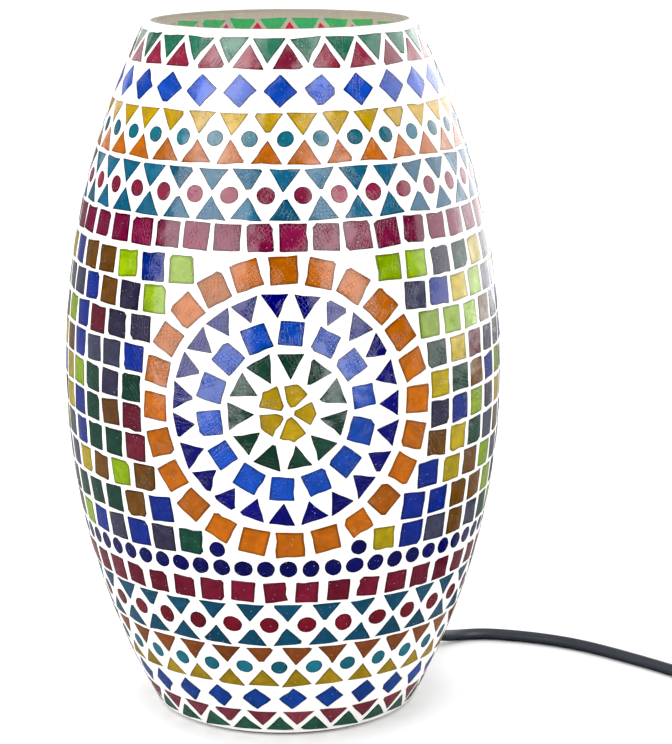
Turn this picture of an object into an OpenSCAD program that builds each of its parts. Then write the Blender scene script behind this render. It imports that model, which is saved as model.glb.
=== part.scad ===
// Mosaic glass table lamp.
// A clear blown barrel of glass, open at the top, is covered outside with hand-cut glass tiles set in white grout.
// A lampholder stands on the glass floor inside it, and a round black flex leaves through a drilled hole at the
// back. The flex carries an in-line rocker switch, a neat coil and a flat two-pin plug.
// Origin: centre of the foot on the table. +Z is up, and -Y is the front, where the first medallion is.

/* [Lamp body] */
// Height from the table to the rim
lamp_h = 300; // [290:1:380]
// Widest diameter, over the mosaic
belly_d = 189; // [150:1:240]
// Height of the widest place above the table
belly_z = 147; // [125:1:180]
// Diameter over the mosaic at the rim
rim_d = 114; // [100:1:130]
// Diameter over the mosaic at the foot
foot_d = 115; // [100:1:130]
// Thickness of the glass wall
glass_t = 2.2; // [1.5:0.1:4]
// Thickness of the glass floor
floor_t = 3.5; // [2.5:0.1:6]
// Height of the glass floor's underside above the table
floor_z = 6.6; // [6.6:0.1:10]
// Thickness of the felt disc under the foot
felt_t = 1.6; // [1:0.1:2]
// Width of the glass foot ring that the felt is glued to
foot_ring_w = 6; // [4:0.5:10]

/* [Mosaic] */
// Thickness of the glass tiles
tile_t = 1.5; // [1:0.1:3]
// Thickness of the white bed between the tiles and the shell
bed_t = 0.6; // [0.4:0.1:2]
// How far a hand-cut corner strays from its true place
cut_error = 0.35; // [0:0.05:0.5]
// How far a hand-laid tile is turned, in degrees
lay_error = 2.5; // [0:0.5:4]
// Side of the square tiles
square_side = 10.7; // [8:0.1:13]
// Diagonal of the square tiles that stand on a corner
diamond_diag = 14; // [10:0.1:17]
// Base of the triangular tiles
triangle_w = 10.6; // [8:0.1:13]
// Height of the triangular tiles
triangle_h = 8.6; // [6.5:0.1:10.5]
// Diameter of the round tiles between two rows of triangles
round_d = 6.8; // [4:0.1:8]
// Diameter of the cobalt rounds under the field
cobalt_d = 7; // [5:0.1:9]
// Joint between two squares of a course
square_gap = 2.45; // [2:0.05:4]
// Joint between the bases of two triangles of a band
triangle_gap = 4; // [3.4:0.1:6]
// Joint between one course and the next
course_gap = 1.8; // [1.4:0.1:3]

/* [Medallions] */
// Distance from a medallion's centre to the middle of its orange squares
orange_ring_r = 56.5; // [55:0.5:57]
// Distance to the middle of its navy triangles
navy_ring_r = 44.2; // [43.5:0.1:45]
// Distance to the middle of its blue squares
blue_ring_r = 31.8; // [31:0.1:32.5]
// Distance to the middle of its green triangles
green_ring_r = 20.2; // [19.5:0.1:21]
// Distance to the middle of its yellow wedges
wedge_ring_r = 7.8; // [7.4:0.1:8.4]

/* [Lampholder and bulb] */
// Outer diameter of the hollow threaded tubes
tube_d = 10; // [8:0.5:12]
// Bore of the hollow threaded tubes
tube_bore = 7; // [5.6:0.1:8]
// Gap between a tube and the hole in the glass floor, on the radius
tube_gap = 0.75; // [0.3:0.05:1.5]
// Diameter of the sealing and steel washers
washer_d = 28; // [22:1:36]
// Thickness of each washer
washer_t = 1; // [0.6:0.1:1.2]
// Thickness of the lock nut under the floor
nut_t = 2.4; // [2:0.1:2.4]
// Width of the lock nut across its flats
nut_af = 14; // [13:0.5:19]
// Diameter of the side-entry coupler
coupler_d = 16; // [14:0.5:20]
// Height of the side-entry coupler
coupler_h = 22; // [18:1:30]
// Outer diameter of the lampholder
holder_d = 39; // [36:0.5:46]
// Height of the lampholder's skirt
holder_h = 34; // [30:1:40]
// Height of the lampholder's cap
holder_cap_h = 16; // [12:1:22]
// Diameter of the bulb's screw cap
bulb_cap_d = 26; // [25.5:0.1:26.2]
// Gap between the screw cap and the screw shell, on the radius
cap_gap = 0.4; // [0.2:0.05:0.5]
// Diameter of the bulb's globe
globe_d = 60; // [45:1:70]
// Length of the bulb from its contact to the top of the globe
bulb_len = 106; // [95:1:120]

/* [Flex and its hole] */
// Diameter of the flex
flex_d = 5.2; // [4.8:0.1:5.4]
// Direction of the hole for the flex, in degrees round from the front towards the right
flex_azimuth = 125; // [125:1:125]
// Height of the hole for the flex above the table
flex_z = 15; // [15:0.5:15]
// Diameter of the hole for the flex
flex_hole_d = 9; // [8:0.1:10]
// Gap between the strain relief's inner flange and the middle of the glass it bears on
flange_gap = 0.35; // [0.3:0.05:1]
// Diameter of the strain relief's two flanges
flange_d = 12; // [11:0.5:12.5]
// Length of the strain relief's tapered tail outside the shell
tail_len = 20; // [20:1:20]

/* [Switch] */
// Length of the switch along the flex
switch_len = 58; // [58:1:58]
// Width of the switch
switch_w = 25; // [20:0.5:26]
// Height of the switch
switch_h = 17; // [16:0.5:20]
// Length of the rocker along the flex
rocker_len = 20; // [16:0.5:24]
// Width of the rocker
rocker_w = 10; // [8:0.5:12]
// Gap round the rocker
rocker_gap = 0.5; // [0.3:0.05:0.8]
// Angle that the rocker tips each way from level, in degrees
rocker_tilt = 7; // [4:0.5:9]

/* [Coil and plug] */
// Number of turns of flex side by side in the coil
coil_across = 3; // [3:1:3]
// Number of layers of flex in the coil
coil_layers = 3; // [3:1:3]
// Diameter of the coil at the middle of its turns
coil_mean_d = 59.8; // [56:0.2:60]
// Width of the plug over its pins' face
plug_w = 35; // [32:0.5:36]
// Thickness of the plug
plug_t = 13.7; // [13.7:0.1:13.7]
// Length of the plug's body
plug_len = 36; // [30:1:40]
// Diameter of the plug's pins
pin_d = 4; // [4:0.1:4.8]
// Length of the plug's pins
pin_len = 19; // [17:0.5:20]
// Distance between the plug's pins
pin_pitch = 18.6; // [17.5:0.1:19]
// Length of the plug's moulded strain relief
plug_relief_len = 16; // [12:1:16]

/* [Hidden] */

fine = 96;    // facets of a large circle
round_fn = 48; // facets of a small one
eps = 0.01;

// ---- The turned surface ----
// The outside is two arcs that meet upright at the belly. Every layer of the wall follows the same centres.
belly_r = belly_d / 2;
rim_drop = belly_r - rim_d / 2;
foot_drop = belly_r - foot_d / 2;
upper_arc_r = (pow(lamp_h - belly_z, 2) + pow(rim_drop, 2)) / (2 * rim_drop);
lower_arc_r = (pow(belly_z, 2) + pow(foot_drop, 2)) / (2 * foot_drop);
coat_t = tile_t + bed_t;
wall_t = coat_t + glass_t;

function arc_r(z) = z > belly_z ? upper_arc_r : lower_arc_r;
// radius at height z of the layer that lies inset under the outside
function shell_r(z, inset = 0) =
    belly_r - arc_r(z) + sqrt(pow(arc_r(z) - inset, 2) - pow(z - belly_z, 2));
// how far the surface leans back from upright at height z, in degrees
function lean(z) = asin((z - belly_z) / arc_r(z));
// radius and height of the point under the outside point at height z, along the surface's own normal
function under(z, depth) =
    [shell_r(z) - depth * cos(lean(z)), z - depth * sin(lean(z))];

wall_steps = 48;
function wall_z(i) = felt_t + (lamp_h - felt_t) * i / wall_steps;
function wall_curve(inset) = [for (i = [0:wall_steps]) [shell_r(wall_z(i), inset), wall_z(i)]];
function reversed(list) = [for (i = [len(list) - 1:-1:0]) list[i]];

// ---- Stack on the glass floor, from the bottom up ----
floor_top = floor_z + floor_t;
lower_seal_z = floor_z - washer_t;
lower_washer_z = lower_seal_z - washer_t;
nut_z = lower_washer_z - nut_t;
upper_washer_z = floor_top + washer_t;
coupler_z = upper_washer_z + washer_t;
coupler_top = coupler_z + coupler_h;
lead_hole_z = coupler_z + coupler_h / 2 + 1;
tube_engaged = 6;      // how far a tube reaches into the coupler from each end
holder_z = coupler_top + 1;
holder_wall = 2.4;
skirt_z = holder_z + holder_cap_h;
carrier_h = 12;
shell_t = 0.4;         // thickness of the brass screw shell
shell_r_in = bulb_cap_d / 2 + cap_gap;
contact_t = 1.2;
contact_top = skirt_z + carrier_h / 2 + contact_t;
bulb_z = contact_top;  // the bulb's contact rests on the centre contact
bulb_cap_h = 24;
globe_z = bulb_z + bulb_len - globe_d / 2;
neck_z = globe_z - globe_d * 0.37; // height at which the globe sits in its collar
neck_d = 2 * sqrt(pow(globe_d / 2, 2) - pow(globe_z - neck_z, 2));

// ---- Hole for the flex ----
flex_dir = [sin(flex_azimuth) * cos(lean(flex_z)), -cos(flex_azimuth) * cos(lean(flex_z)), sin(lean(flex_z))];
flex_hole = [shell_r(flex_z) * sin(flex_azimuth), -shell_r(flex_z) * cos(flex_azimuth), flex_z];
relief_in = 9;         // how far the strain relief reaches inwards from the outside of the mosaic
flange_t = 1.4;
relief_tip_d = flex_d + 1.2;

// ---- Route of the flex outside, point by point, to the switch ----
flex_start = flex_hole + tail_len * flex_dir;
lead_route = concat([flex_start], [
    [73, 51, 4.7], [78.5, 54, 3.4], [85, 56.7, 2.7], [92, 57.8, 2.6], [100, 57, 2.6], [110, 54.2, 2.6],
    [120, 50.4, 2.6], [130, 45.4, 2.6], [139.5, 39.3, 2.6], [149, 31.4, 2.6], [159, 22, 2.6],
    [168.5, 12.6, 2.6], [176.5, 4, 2.7], [182.5, -3, 3.8], [187.5, -9.8, 6], [190.2, -13.7, 7.4],
    [192.5, -17, 8]
]);
switch_in = [192.5, -17, 8];
switch_heading = -55.8;
switch_dir = [cos(switch_heading), sin(switch_heading), 0];
switch_out = switch_in + switch_len * switch_dir;

// ---- From the switch to the coil ----
tail_route = concat([switch_out], [
    [227.5, -68.5, 7.8], [230.2, -72.3, 7], [234.3, -76.9, 5.4], [239.2, -80.5, 3.9], [245, -83, 2.9],
    [252, -84, 2.6], [259, -83.2, 2.6], [265.5, -80.5, 2.6], [271.2, -76, 2.6], [275.2, -70, 2.6],
    [277.6, -62.5, 2.6], [278.4, -53, 2.6], [278.7, -40, 2.6], [278.9, -26, 2.6], [279, -12, 2.6],
    [279.1, 6, 2.6]
]);
coil_at = [244, 6];
coil_w = coil_across * flex_d;
coil_h = coil_layers * flex_d;
coil_outer_r = coil_mean_d / 2 + coil_w / 2;

// ---- From the coil to the plug ----
// The last turn lies in the middle of the top layer, and crosses the outer one in a long low hump.
leave_angle = 0;       // place on the coil where it leaves, round from +X
leave_r = coil_mean_d / 2;
leave_dir = [-sin(leave_angle), cos(leave_angle), 0];
leave_from = [coil_at[0] + leave_r * cos(leave_angle), coil_at[1] + leave_r * sin(leave_angle), 0];
leave_run = 70;        // distance from the coil to the plug's strain relief
plug_z = plug_t / 2;
// height of the flex above the table at shares of that distance
leave_heights = [14.2, 17.4, 18.6, 17.6, 14.8, 11.4, 8.4, plug_z];
end_route = [for (i = [0:len(leave_heights) - 1])
    leave_from + leave_run * i / (len(leave_heights) - 1) * leave_dir + [0, 0, leave_heights[i]]];
plug_at = leave_from + leave_run * leave_dir + [0, 0, plug_z];
plug_heading = 90 + leave_angle;

// ---- Courses of tiles ----
// Shares of the triangles' size, for the bands where they are cut smaller
band_h = triangle_h * 0.93;
lower_w = triangle_w * 1.04;
lower_h = triangle_h * 0.86;
base_h = triangle_h * 0.78;
lower_diag = diamond_diag * 0.9;
lower_side = square_side * 0.93;
rim_margin = 3.5;      // white band above the first course
foot_margin = 3.4;     // and under the last one
// Middles of the upper courses, each from the one above
rim_green_z = lamp_h - rim_margin - triangle_h / 3;
rim_ruby_z = rim_green_z - triangle_h * 0.63;
upper_diamond_z = rim_ruby_z - triangle_h / 3 - course_gap - diamond_diag / 2;
upper_yellow_z = upper_diamond_z - diamond_diag / 2 - course_gap * 0.8 - band_h / 3;
upper_teal_round_z = upper_yellow_z - band_h * 2 / 3 - course_gap;
upper_amber_z = upper_teal_round_z - band_h * 2 / 3 - course_gap * 0.6;
upper_teal_down_z = upper_amber_z - band_h * 2 / 3 - course_gap * 1.5;
upper_ruby_round_z = upper_teal_down_z - band_h * 2 / 3 - course_gap;
upper_teal_up_z = upper_ruby_round_z - band_h * 2 / 3 - course_gap * 0.6;
upper_ruby_square_z = upper_teal_up_z - band_h / 3 - course_gap - square_side / 2;
// Middles of the lower courses, each from the one below
base_green_z = foot_margin + base_h / 3;
base_ruby_z = base_green_z + base_h * 0.76;
lower_diamond_z = base_ruby_z + base_h / 3 + course_gap * 0.5 + lower_diag / 2;
lower_yellow_z = lower_diamond_z + lower_diag / 2 + course_gap * 0.7 + lower_h / 3;
lower_teal_round_z = lower_yellow_z + lower_h * 2 / 3 + course_gap;
lower_amber_z = lower_teal_round_z + lower_h * 2 / 3 + course_gap;
lower_teal_up_z = lower_amber_z + lower_h * 2 / 3 + course_gap * 1.4;
lower_ruby_round_z = lower_teal_up_z + lower_h * 2 / 3 + course_gap;
lower_teal_down_z = lower_ruby_round_z + lower_h * 2 / 3 + course_gap;
lower_ruby_square_z = lower_teal_down_z + lower_h / 3 + course_gap * 0.8 + lower_side / 2;
cobalt_z = lower_ruby_square_z + lower_side / 2 + course_gap * 1.2 + cobalt_d / 2;

// Distances from tile to tile in the bands of triangles
rim_pitch = triangle_w + triangle_gap * 1.3;
amber_pitch = triangle_w + triangle_gap * 0.93;
teal_pitch = triangle_w + triangle_gap * 1.03;
lower_teal_pitch = lower_w + triangle_gap * 1.13;
lower_amber_pitch = triangle_w + triangle_gap;
base_pitch = triangle_w + triangle_gap;

// Number of tiles that a course holds at height z, at this distance from tile to tile
function around(z, pitch) = round(2 * PI * shell_r(z) / pitch);

// Field between the two bands of ruby squares
field_row = square_side + course_gap;
field_pitch = square_side + square_gap + 0.35;
field_top = upper_ruby_square_z - square_side - course_gap * 1.6;
field_bottom = cobalt_z + cobalt_d / 2 + course_gap * 0.8 + square_side / 2;
field_rows = floor((field_top - field_bottom) / field_row + 0.5) + 1;
field_step = (field_top - field_bottom) / (field_rows - 1);
medallion_z = (field_top + field_bottom) / 2 + 0.8;
medallion_r = orange_ring_r + square_side / 2 + 1;
MEDALLION_AZIMUTHS = [0, 180];

// Colours of the field, row by row from the top. Each word runs from a medallion outwards: the first list on its
// left and the second on its right. L lime, Y yellow, B brown, C charcoal, S slate, R blue, G green, M maroon.
LEFT_CHART = ["LRLBBRY", "LCBRSSL", "CCMRLBG", "RSSRBYC", "GCGLYRM", "MBGRYCS", "MGGRSLB", "BLBYSGR",
    "RBGGGCY", "GCRSRLB"];
RIGHT_CHART = ["LLCGYSB", "SRYLSGC", "LLLBSRY", "GYMSCRL", "YGBRLSC", "CRLSYBG", "BYGSBRC", "RYBLSGM",
    "RRBBLCG", "YRSBSGL"];

// ---- Tile outlines, around the middle of the tile ----
function triangle_up(w, h) = [[-w / 2, -h / 3], [w / 2, -h / 3], [0, h * 2 / 3]];
function triangle_down(w, h) = [for (p = triangle_up(w, h)) -p];
function square_of(side) = [for (a = [45:90:315]) side / sqrt(2) * [cos(a), sin(a)]];
function diamond_of(diag) = [for (a = [0:90:270]) diag / 2 * [cos(a), sin(a)]];
function wedge_of(w, h) = [[-w / 2, h * 0.22], [-0.8, -h * 0.55], [0.8, -h * 0.55], [w / 2, h * 0.22], [0, h * 0.45]];
// the same outline, with each corner where a hand-held cutter would leave it
function hand_cut(outline, seed) =
    let (stray = rands(-cut_error, cut_error, 2 * len(outline), seed))
    [for (i = [0:len(outline) - 1]) outline[i] + [stray[2 * i], stray[2 * i + 1]]];
function hand_turn(seed) = rands(-lay_error, lay_error, 1, seed + 0.5)[0];

// ---- Placing on the shell ----
// Puts its children with their XY plane depth under the outside, at this azimuth and height: X runs round the
// lamp, Y up it and Z straight out.
module on_shell(azimuth, z, depth) {
    rotate([0, 0, azimuth])
        translate([0, -under(z, depth)[0], under(z, depth)[1]])
            rotate([90 - lean(z), 0, 0]) children();
}

// true if a tile at this place would sit under the strain relief's flange
function at_flex_hole(azimuth, z) =
    norm([shell_r(z) * 2 * sin((azimuth - flex_azimuth) / 2), z - flex_z]) < flange_d / 2 + square_side * 0.62;

module flat_tile(azimuth, z, outline, seed, turn = 0) {
    if (!at_flex_hole(azimuth, z))
        on_shell(azimuth, z, tile_t)
            rotate([0, 0, turn + hand_turn(seed)])
                linear_extrude(tile_t) polygon(hand_cut(outline, seed));
}

module round_tile(azimuth, z, d) {
    if (!at_flex_hole(azimuth, z))
        on_shell(azimuth, z, tile_t) cylinder(h = tile_t, d = d, $fn = round_fn);
}

module course(z, pitch, phase, outline, seed) {
    count = around(z, pitch);
    for (i = [0:count - 1]) flat_tile(phase + 360 * i / count, z, outline, seed + i);
}

module round_course(z, pitch, phase, d) {
    count = around(z, pitch);
    for (i = [0:count - 1]) round_tile(phase + 360 * i / count, z, d);
}

// One band: rounds, with triangles that point at them from above and below. The rows share one count.
module band_triangles(z, band_z, pitch, phase, outline, seed) {
    count = around(band_z, pitch);
    for (i = [0:count - 1]) flat_tile(phase + 360 * i / count, z, outline, seed + i);
}

module band_rounds(z, pitch, phase, d) {
    count = around(z, pitch);
    for (i = [0:count - 1]) round_tile(phase + 360 * (i + 0.5) / count, z, d);
}

module green_course() {
    band_triangles(rim_green_z, rim_ruby_z, rim_pitch, -5.2, triangle_down(triangle_w, triangle_h), 100);
}

// ---- Rim and upper bands ----
module rim_green_triangles() {
    color("seagreen") green_course();
}

module rim_ruby_triangles() {
    half = 180 / around(rim_ruby_z, rim_pitch);
    color("crimson")
        band_triangles(rim_ruby_z, rim_ruby_z, rim_pitch, half - 5.2, triangle_up(triangle_w, triangle_h), 150);
}

module upper_blue_diamonds() {
    color("royalblue") course(upper_diamond_z, diamond_diag + square_gap, -0.9, diamond_of(diamond_diag), 200);
}

module upper_yellow_triangles() {
    color("gold")
        band_triangles(upper_yellow_z, upper_teal_round_z, amber_pitch, -4.95,
            triangle_down(triangle_w, band_h), 250);
}

module upper_amber_triangles() {
    color("orange")
        band_triangles(upper_amber_z, upper_teal_round_z, amber_pitch, -4.95,
            triangle_up(triangle_w, band_h), 300);
}

module upper_teal_triangles() {
    color("darkcyan") {
        band_triangles(upper_teal_down_z, upper_ruby_round_z, teal_pitch, 0,
            triangle_down(triangle_w, band_h), 350);
        band_triangles(upper_teal_up_z, upper_ruby_round_z, teal_pitch, 0,
            triangle_up(triangle_w, band_h), 400);
    }
}

module upper_ruby_rounds() {
    color("crimson") band_rounds(upper_ruby_round_z, teal_pitch, 0, round_d);
}

module upper_ruby_squares() {
    color("crimson") course(upper_ruby_square_z, square_side + square_gap, 2.2, square_of(square_side), 450);
}

// ---- Field of squares between the medallions ----
// half the width that a medallion takes out of the row at height z
function medallion_half(z) =
    let (off = max(abs(z - medallion_z) - square_side * 0.42, 0))
    off < medallion_r ? sqrt(pow(medallion_r, 2) - pow(off, 2)) : 0;

// the letter for tile i of a row; a chart that runs out starts again, shifted, so that no two rows match
function field_letter(chart, row, i, from_back) =
    let (word = chart[(row + (from_back ? 4 : 0)) % len(chart)]) word[i % len(word)];

// One side of one row: the tiles from one medallion's edge to the other's, half of them counted from each
module field_side(row, z, side, letter) {
    edge = (medallion_half(z) + square_side / 2 + 1) / shell_r(z) * 180 / PI;
    free = 180 - 2 * edge;
    count = round(free / 180 * PI * shell_r(z) / field_pitch) + 1;
    for (i = [0:count - 1]) {
        from_back = i >= count / 2;
        from_edge = from_back ? count - 1 - i : i;
        chart = (side > 0) != from_back ? RIGHT_CHART : LEFT_CHART;
        if (field_letter(chart, row, from_edge, from_back) == letter)
            flat_tile(side * (edge + free * i / (count - 1)), z,
                square_of(square_side), 1000 + 100 * row + i + 40 * side);
    }
}

module field_squares(letter) {
    for (row = [0:field_rows - 1])
        for (side = [-1, 1])
            field_side(row, field_top - field_step * row, side, letter);
}

module field_lime_squares() {
    color("yellowgreen") field_squares("L");
}

module field_yellow_squares() {
    color("gold") field_squares("Y");
}

module field_brown_squares() {
    color("saddlebrown") field_squares("B");
}

module field_charcoal_squares() {
    color("darkslategray") field_squares("C");
}

module field_slate_squares() {
    color("slategray") field_squares("S");
}

module field_blue_squares() {
    color("royalblue") field_squares("R");
}

module field_green_squares() {
    color("darkgreen") field_squares("G");
}

module field_maroon_squares() {
    color("maroon") field_squares("M");
}

// ---- Medallions ----
// A ring of tiles about each medallion's centre. Each outline's +Y points away from the centre.
module medallion_ring(count, ring_r, phase, outline, seed) {
    for (front = MEDALLION_AZIMUTHS)
        for (i = [0:count - 1]) {
            a = phase + 360 * i / count;
            z = medallion_z + ring_r * sin(a);
            across = ring_r * cos(a) / shell_r(z) * 180 / PI;
            flat_tile(front + across, z, outline, seed + front + i, a - 90);
        }
}

module medallion_orange_squares() {
    color("darkorange") medallion_ring(24, orange_ring_r, 0.8, square_of(square_side), 2000);
}

module medallion_navy_triangles() {
    color("navy") medallion_ring(23, navy_ring_r, 1.2, triangle_down(9.6, 8), 2100);
}

module medallion_blue_squares() {
    color("royalblue") medallion_ring(14, blue_ring_r, 9, square_of(square_side * 0.95), 2200);
}

module medallion_green_triangles() {
    color("darkgreen") medallion_ring(11, green_ring_r, 20, triangle_down(9.2, 8.6), 2300);
}

module medallion_yellow_wedges() {
    color("gold") medallion_ring(5, wedge_ring_r, -4, wedge_of(9.6, 9.4), 2400);
}

// The rounds of the two amber and yellow bands, one near the rim and one near the foot
module teal_rounds() {
    color("teal") {
        band_rounds(upper_teal_round_z, amber_pitch, -4.95, round_d * 0.92);
        band_rounds(lower_teal_round_z, lower_amber_pitch, 2.5, round_d * 0.94);
    }
}

// ---- Lower bands ----
// The course of cobalt rounds, and the two that fill the corners under each medallion
module cobalt_rounds() {
    corner_z = cobalt_z + cobalt_d + 1;
    corner = 29.4 / shell_r(corner_z) * 180 / PI;
    color("mediumblue") {
        round_course(cobalt_z, cobalt_d + 2.2, 0, cobalt_d);
        for (front = MEDALLION_AZIMUTHS)
            for (side = [-1, 1]) round_tile(front + side * corner, corner_z, cobalt_d * 0.95);
    }
}

module lower_ruby_squares() {
    color("crimson") course(lower_ruby_square_z, square_side + square_gap, -3.7, square_of(lower_side), 2500);
}

module lower_teal_triangles() {
    color("darkcyan") {
        band_triangles(lower_teal_down_z, lower_ruby_round_z, lower_teal_pitch, -0.2,
            triangle_down(lower_w, lower_h), 2550);
        band_triangles(lower_teal_up_z, lower_ruby_round_z, lower_teal_pitch, -0.2,
            triangle_up(lower_w, lower_h), 2600);
    }
}

module lower_ruby_rounds() {
    color("crimson") band_rounds(lower_ruby_round_z, lower_teal_pitch, -0.2, round_d * 1.1);
}

module lower_amber_triangles() {
    color("orange")
        band_triangles(lower_amber_z, lower_teal_round_z, lower_amber_pitch, 2.5,
            triangle_down(triangle_w, lower_h), 2650);
}

module lower_yellow_triangles() {
    color("gold")
        band_triangles(lower_yellow_z, lower_teal_round_z, lower_amber_pitch, 2.5,
            triangle_up(triangle_w, lower_h), 2700);
}

module lower_blue_diamonds() {
    color("royalblue") course(lower_diamond_z, lower_diag + square_gap + 0.65, 1.4, diamond_of(lower_diag), 2750);
}

module base_ruby_triangles() {
    color("crimson")
        band_triangles(base_ruby_z, base_green_z, base_pitch, 3.4, triangle_down(triangle_w, base_h), 2800);
}

module base_green_triangles() {
    half = 180 / around(base_green_z, base_pitch);
    color("seagreen")
        band_triangles(base_green_z, base_green_z, base_pitch, 3.4 - half,
            triangle_up(triangle_w * 0.95, base_h), 2850);
}

// ---- Glass, grout and felt ----
// Takes the drilled hole for the flex out of its children
module with_flex_hole() {
    difference() {
        children();
        on_shell(flex_azimuth, flex_z, wall_t * 2)
            cylinder(h = wall_t * 4, d = flex_hole_d, $fn = round_fn);
    }
}

module glass_shell() {
    inner = [for (p = reversed(wall_curve(wall_t))) if (p[1] > floor_top + 2) p];
    recess_r = shell_r(felt_t, coat_t) - foot_ring_w;
    color("lightcyan")
        with_flex_hole()
            rotate_extrude($fn = fine)
                polygon(concat(
                    wall_curve(coat_t),
                    inner,
                    [[shell_r(floor_top, wall_t), floor_top],
                        [tube_d / 2 + tube_gap, floor_top], [tube_d / 2 + tube_gap, floor_z],
                        [recess_r - 3, floor_z], [recess_r, felt_t]]));
}

module grout_coat() {
    color("white")
        with_flex_hole()
            rotate_extrude($fn = fine)
                polygon(concat(wall_curve(tile_t), reversed(wall_curve(coat_t))));
}

module foot_felt() {
    color("darkslategray") cylinder(h = felt_t, r = shell_r(felt_t, coat_t) - 0.5, $fn = fine);
}

// ---- Fixings on the glass floor ----
module hollow_tube(z0, z1) {
    translate([0, 0, z0])
        difference() {
            cylinder(h = z1 - z0, d = tube_d, $fn = round_fn);
            translate([0, 0, -1]) cylinder(h = z1 - z0 + 2, d = tube_bore, $fn = round_fn);
        }
}

module threaded_tubes() {
    color("goldenrod") {
        hollow_tube(nut_z, coupler_z + tube_engaged);
        hollow_tube(coupler_top - tube_engaged, skirt_z - 4);
    }
}

module washer(z, d) {
    translate([0, 0, z])
        difference() {
            cylinder(h = washer_t, d = d, $fn = round_fn);
            translate([0, 0, -1]) cylinder(h = washer_t + 2, d = tube_d, $fn = round_fn);
        }
}

module sealing_washers() {
    color("dimgray") {
        washer(lower_seal_z, washer_d);
        washer(floor_top, washer_d);
    }
}

module steel_washers() {
    color("silver") {
        washer(lower_washer_z, washer_d - 3);
        washer(upper_washer_z, washer_d - 3);
    }
}

module lock_nut() {
    color("silver")
        translate([0, 0, nut_z])
            difference() {
                cylinder(h = nut_t, d = nut_af / cos(30), $fn = 6);
                translate([0, 0, -1]) cylinder(h = nut_t + 2, d = tube_d, $fn = round_fn);
            }
}

module side_entry_coupler() {
    color("goldenrod")
        difference() {
            translate([0, 0, coupler_z]) cylinder(h = coupler_h, d = coupler_d, $fn = round_fn);
            translate([0, 0, coupler_z - 1]) cylinder(h = tube_engaged + 1, d = tube_d, $fn = round_fn);
            translate([0, 0, coupler_z]) cylinder(h = coupler_h, d = tube_bore, $fn = round_fn);
            translate([0, 0, coupler_top - tube_engaged])
                cylinder(h = tube_engaged + 1, d = tube_d, $fn = round_fn);
            translate([0, 0, lead_hole_z])
                rotate([0, 0, flex_azimuth - 90]) rotate([0, 90, 0])
                    cylinder(h = coupler_d, d = flex_d + 0.4, $fn = round_fn);
        }
}

// ---- Lampholder ----
module lampholder_cap() {
    shoulder = 5;
    color("dimgray")
        translate([0, 0, holder_z])
            difference() {
                rotate_extrude($fn = fine)
                    polygon([
                        [tube_d / 2, 0], [coupler_d / 2 + 1, 0], [coupler_d / 2 + 2, shoulder],
                        [holder_d / 2 - 3, holder_cap_h - shoulder], [holder_d / 2, holder_cap_h - 1],
                        [holder_d / 2, holder_cap_h], [holder_d / 2 - holder_wall, holder_cap_h],
                        [holder_d / 2 - holder_wall - 3, holder_cap_h - shoulder + 1],
                        [tube_d / 2 + 3, shoulder + 1], [tube_d / 2, shoulder + 1]]);
            }
}

module lampholder_skirt() {
    color("dimgray")
        translate([0, 0, skirt_z])
            rotate_extrude($fn = fine)
                polygon([
                    [holder_d / 2 - holder_wall, 0], [holder_d / 2, 0], [holder_d / 2, 3],
                    [holder_d / 2 - 1, 4], [holder_d / 2 - 1, holder_h - 2], [holder_d / 2 - 2, holder_h],
                    [holder_d / 2 - holder_wall, holder_h]]);
}

module contact_carrier() {
    color("whitesmoke")
        translate([0, 0, skirt_z])
            difference() {
                cylinder(h = carrier_h, r = holder_d / 2 - holder_wall, $fn = round_fn);
                translate([0, 0, carrier_h / 2]) cylinder(h = carrier_h, r = shell_r_in + shell_t, $fn = round_fn);
                for (side = [-1, 1])
                    translate([side * 6, 0, -1]) cylinder(h = carrier_h, d = 2.4, $fn = 24);
            }
}

module screw_shell() {
    color("goldenrod")
        translate([0, 0, skirt_z + carrier_h / 2 + 1.5])
            difference() {
                cylinder(h = bulb_cap_h - 2, r = shell_r_in + shell_t, $fn = round_fn);
                translate([0, 0, -1]) cylinder(h = bulb_cap_h, r = shell_r_in, $fn = round_fn);
            }
}

module centre_contact() {
    color("goldenrod")
        translate([0, 0, skirt_z + carrier_h / 2]) cylinder(h = contact_t, d = 8, $fn = round_fn);
}

// ---- Bulb ----
module bulb_cap() {
    button_h = 3;
    color("silver")
        translate([0, 0, bulb_z]) {
            cylinder(h = button_h, d = 9, $fn = round_fn);
            translate([0, 0, button_h]) cylinder(h = 3, d1 = 14, d2 = bulb_cap_d, $fn = round_fn);
            translate([0, 0, button_h + 3])
                cylinder(h = bulb_cap_h - button_h - 3, d = bulb_cap_d, $fn = round_fn);
        }
}

module bulb_collar() {
    color("whitesmoke")
        translate([0, 0, bulb_z + bulb_cap_h])
            cylinder(h = neck_z - bulb_z - bulb_cap_h, d1 = bulb_cap_d + 2, d2 = neck_d, $fn = round_fn);
}

module bulb_globe() {
    color("white")
        intersection() {
            translate([0, 0, globe_z]) sphere(d = globe_d, $fn = fine);
            translate([0, 0, neck_z]) cylinder(h = bulb_len, d = globe_d + 2, $fn = round_fn);
        }
}

// ---- Flex ----
// Rings of a tube along a route. The first and last rings face the given directions.
function unit(v) = v / norm(v);
function ring_dirs(route, first, last) = [
    for (i = [0:len(route) - 1])
        i == 0 ? first : i == len(route) - 1 ? last : unit(route[i + 1] - route[i - 1])
];
function ring_points(at, dir, d, sides) =
    let (side = unit(cross([0, 0, 1], dir)), up = cross(dir, side))
    [for (k = [0:sides - 1]) at + d / 2 * (cos(360 * k / sides) * side + sin(360 * k / sides) * up)];

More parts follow.
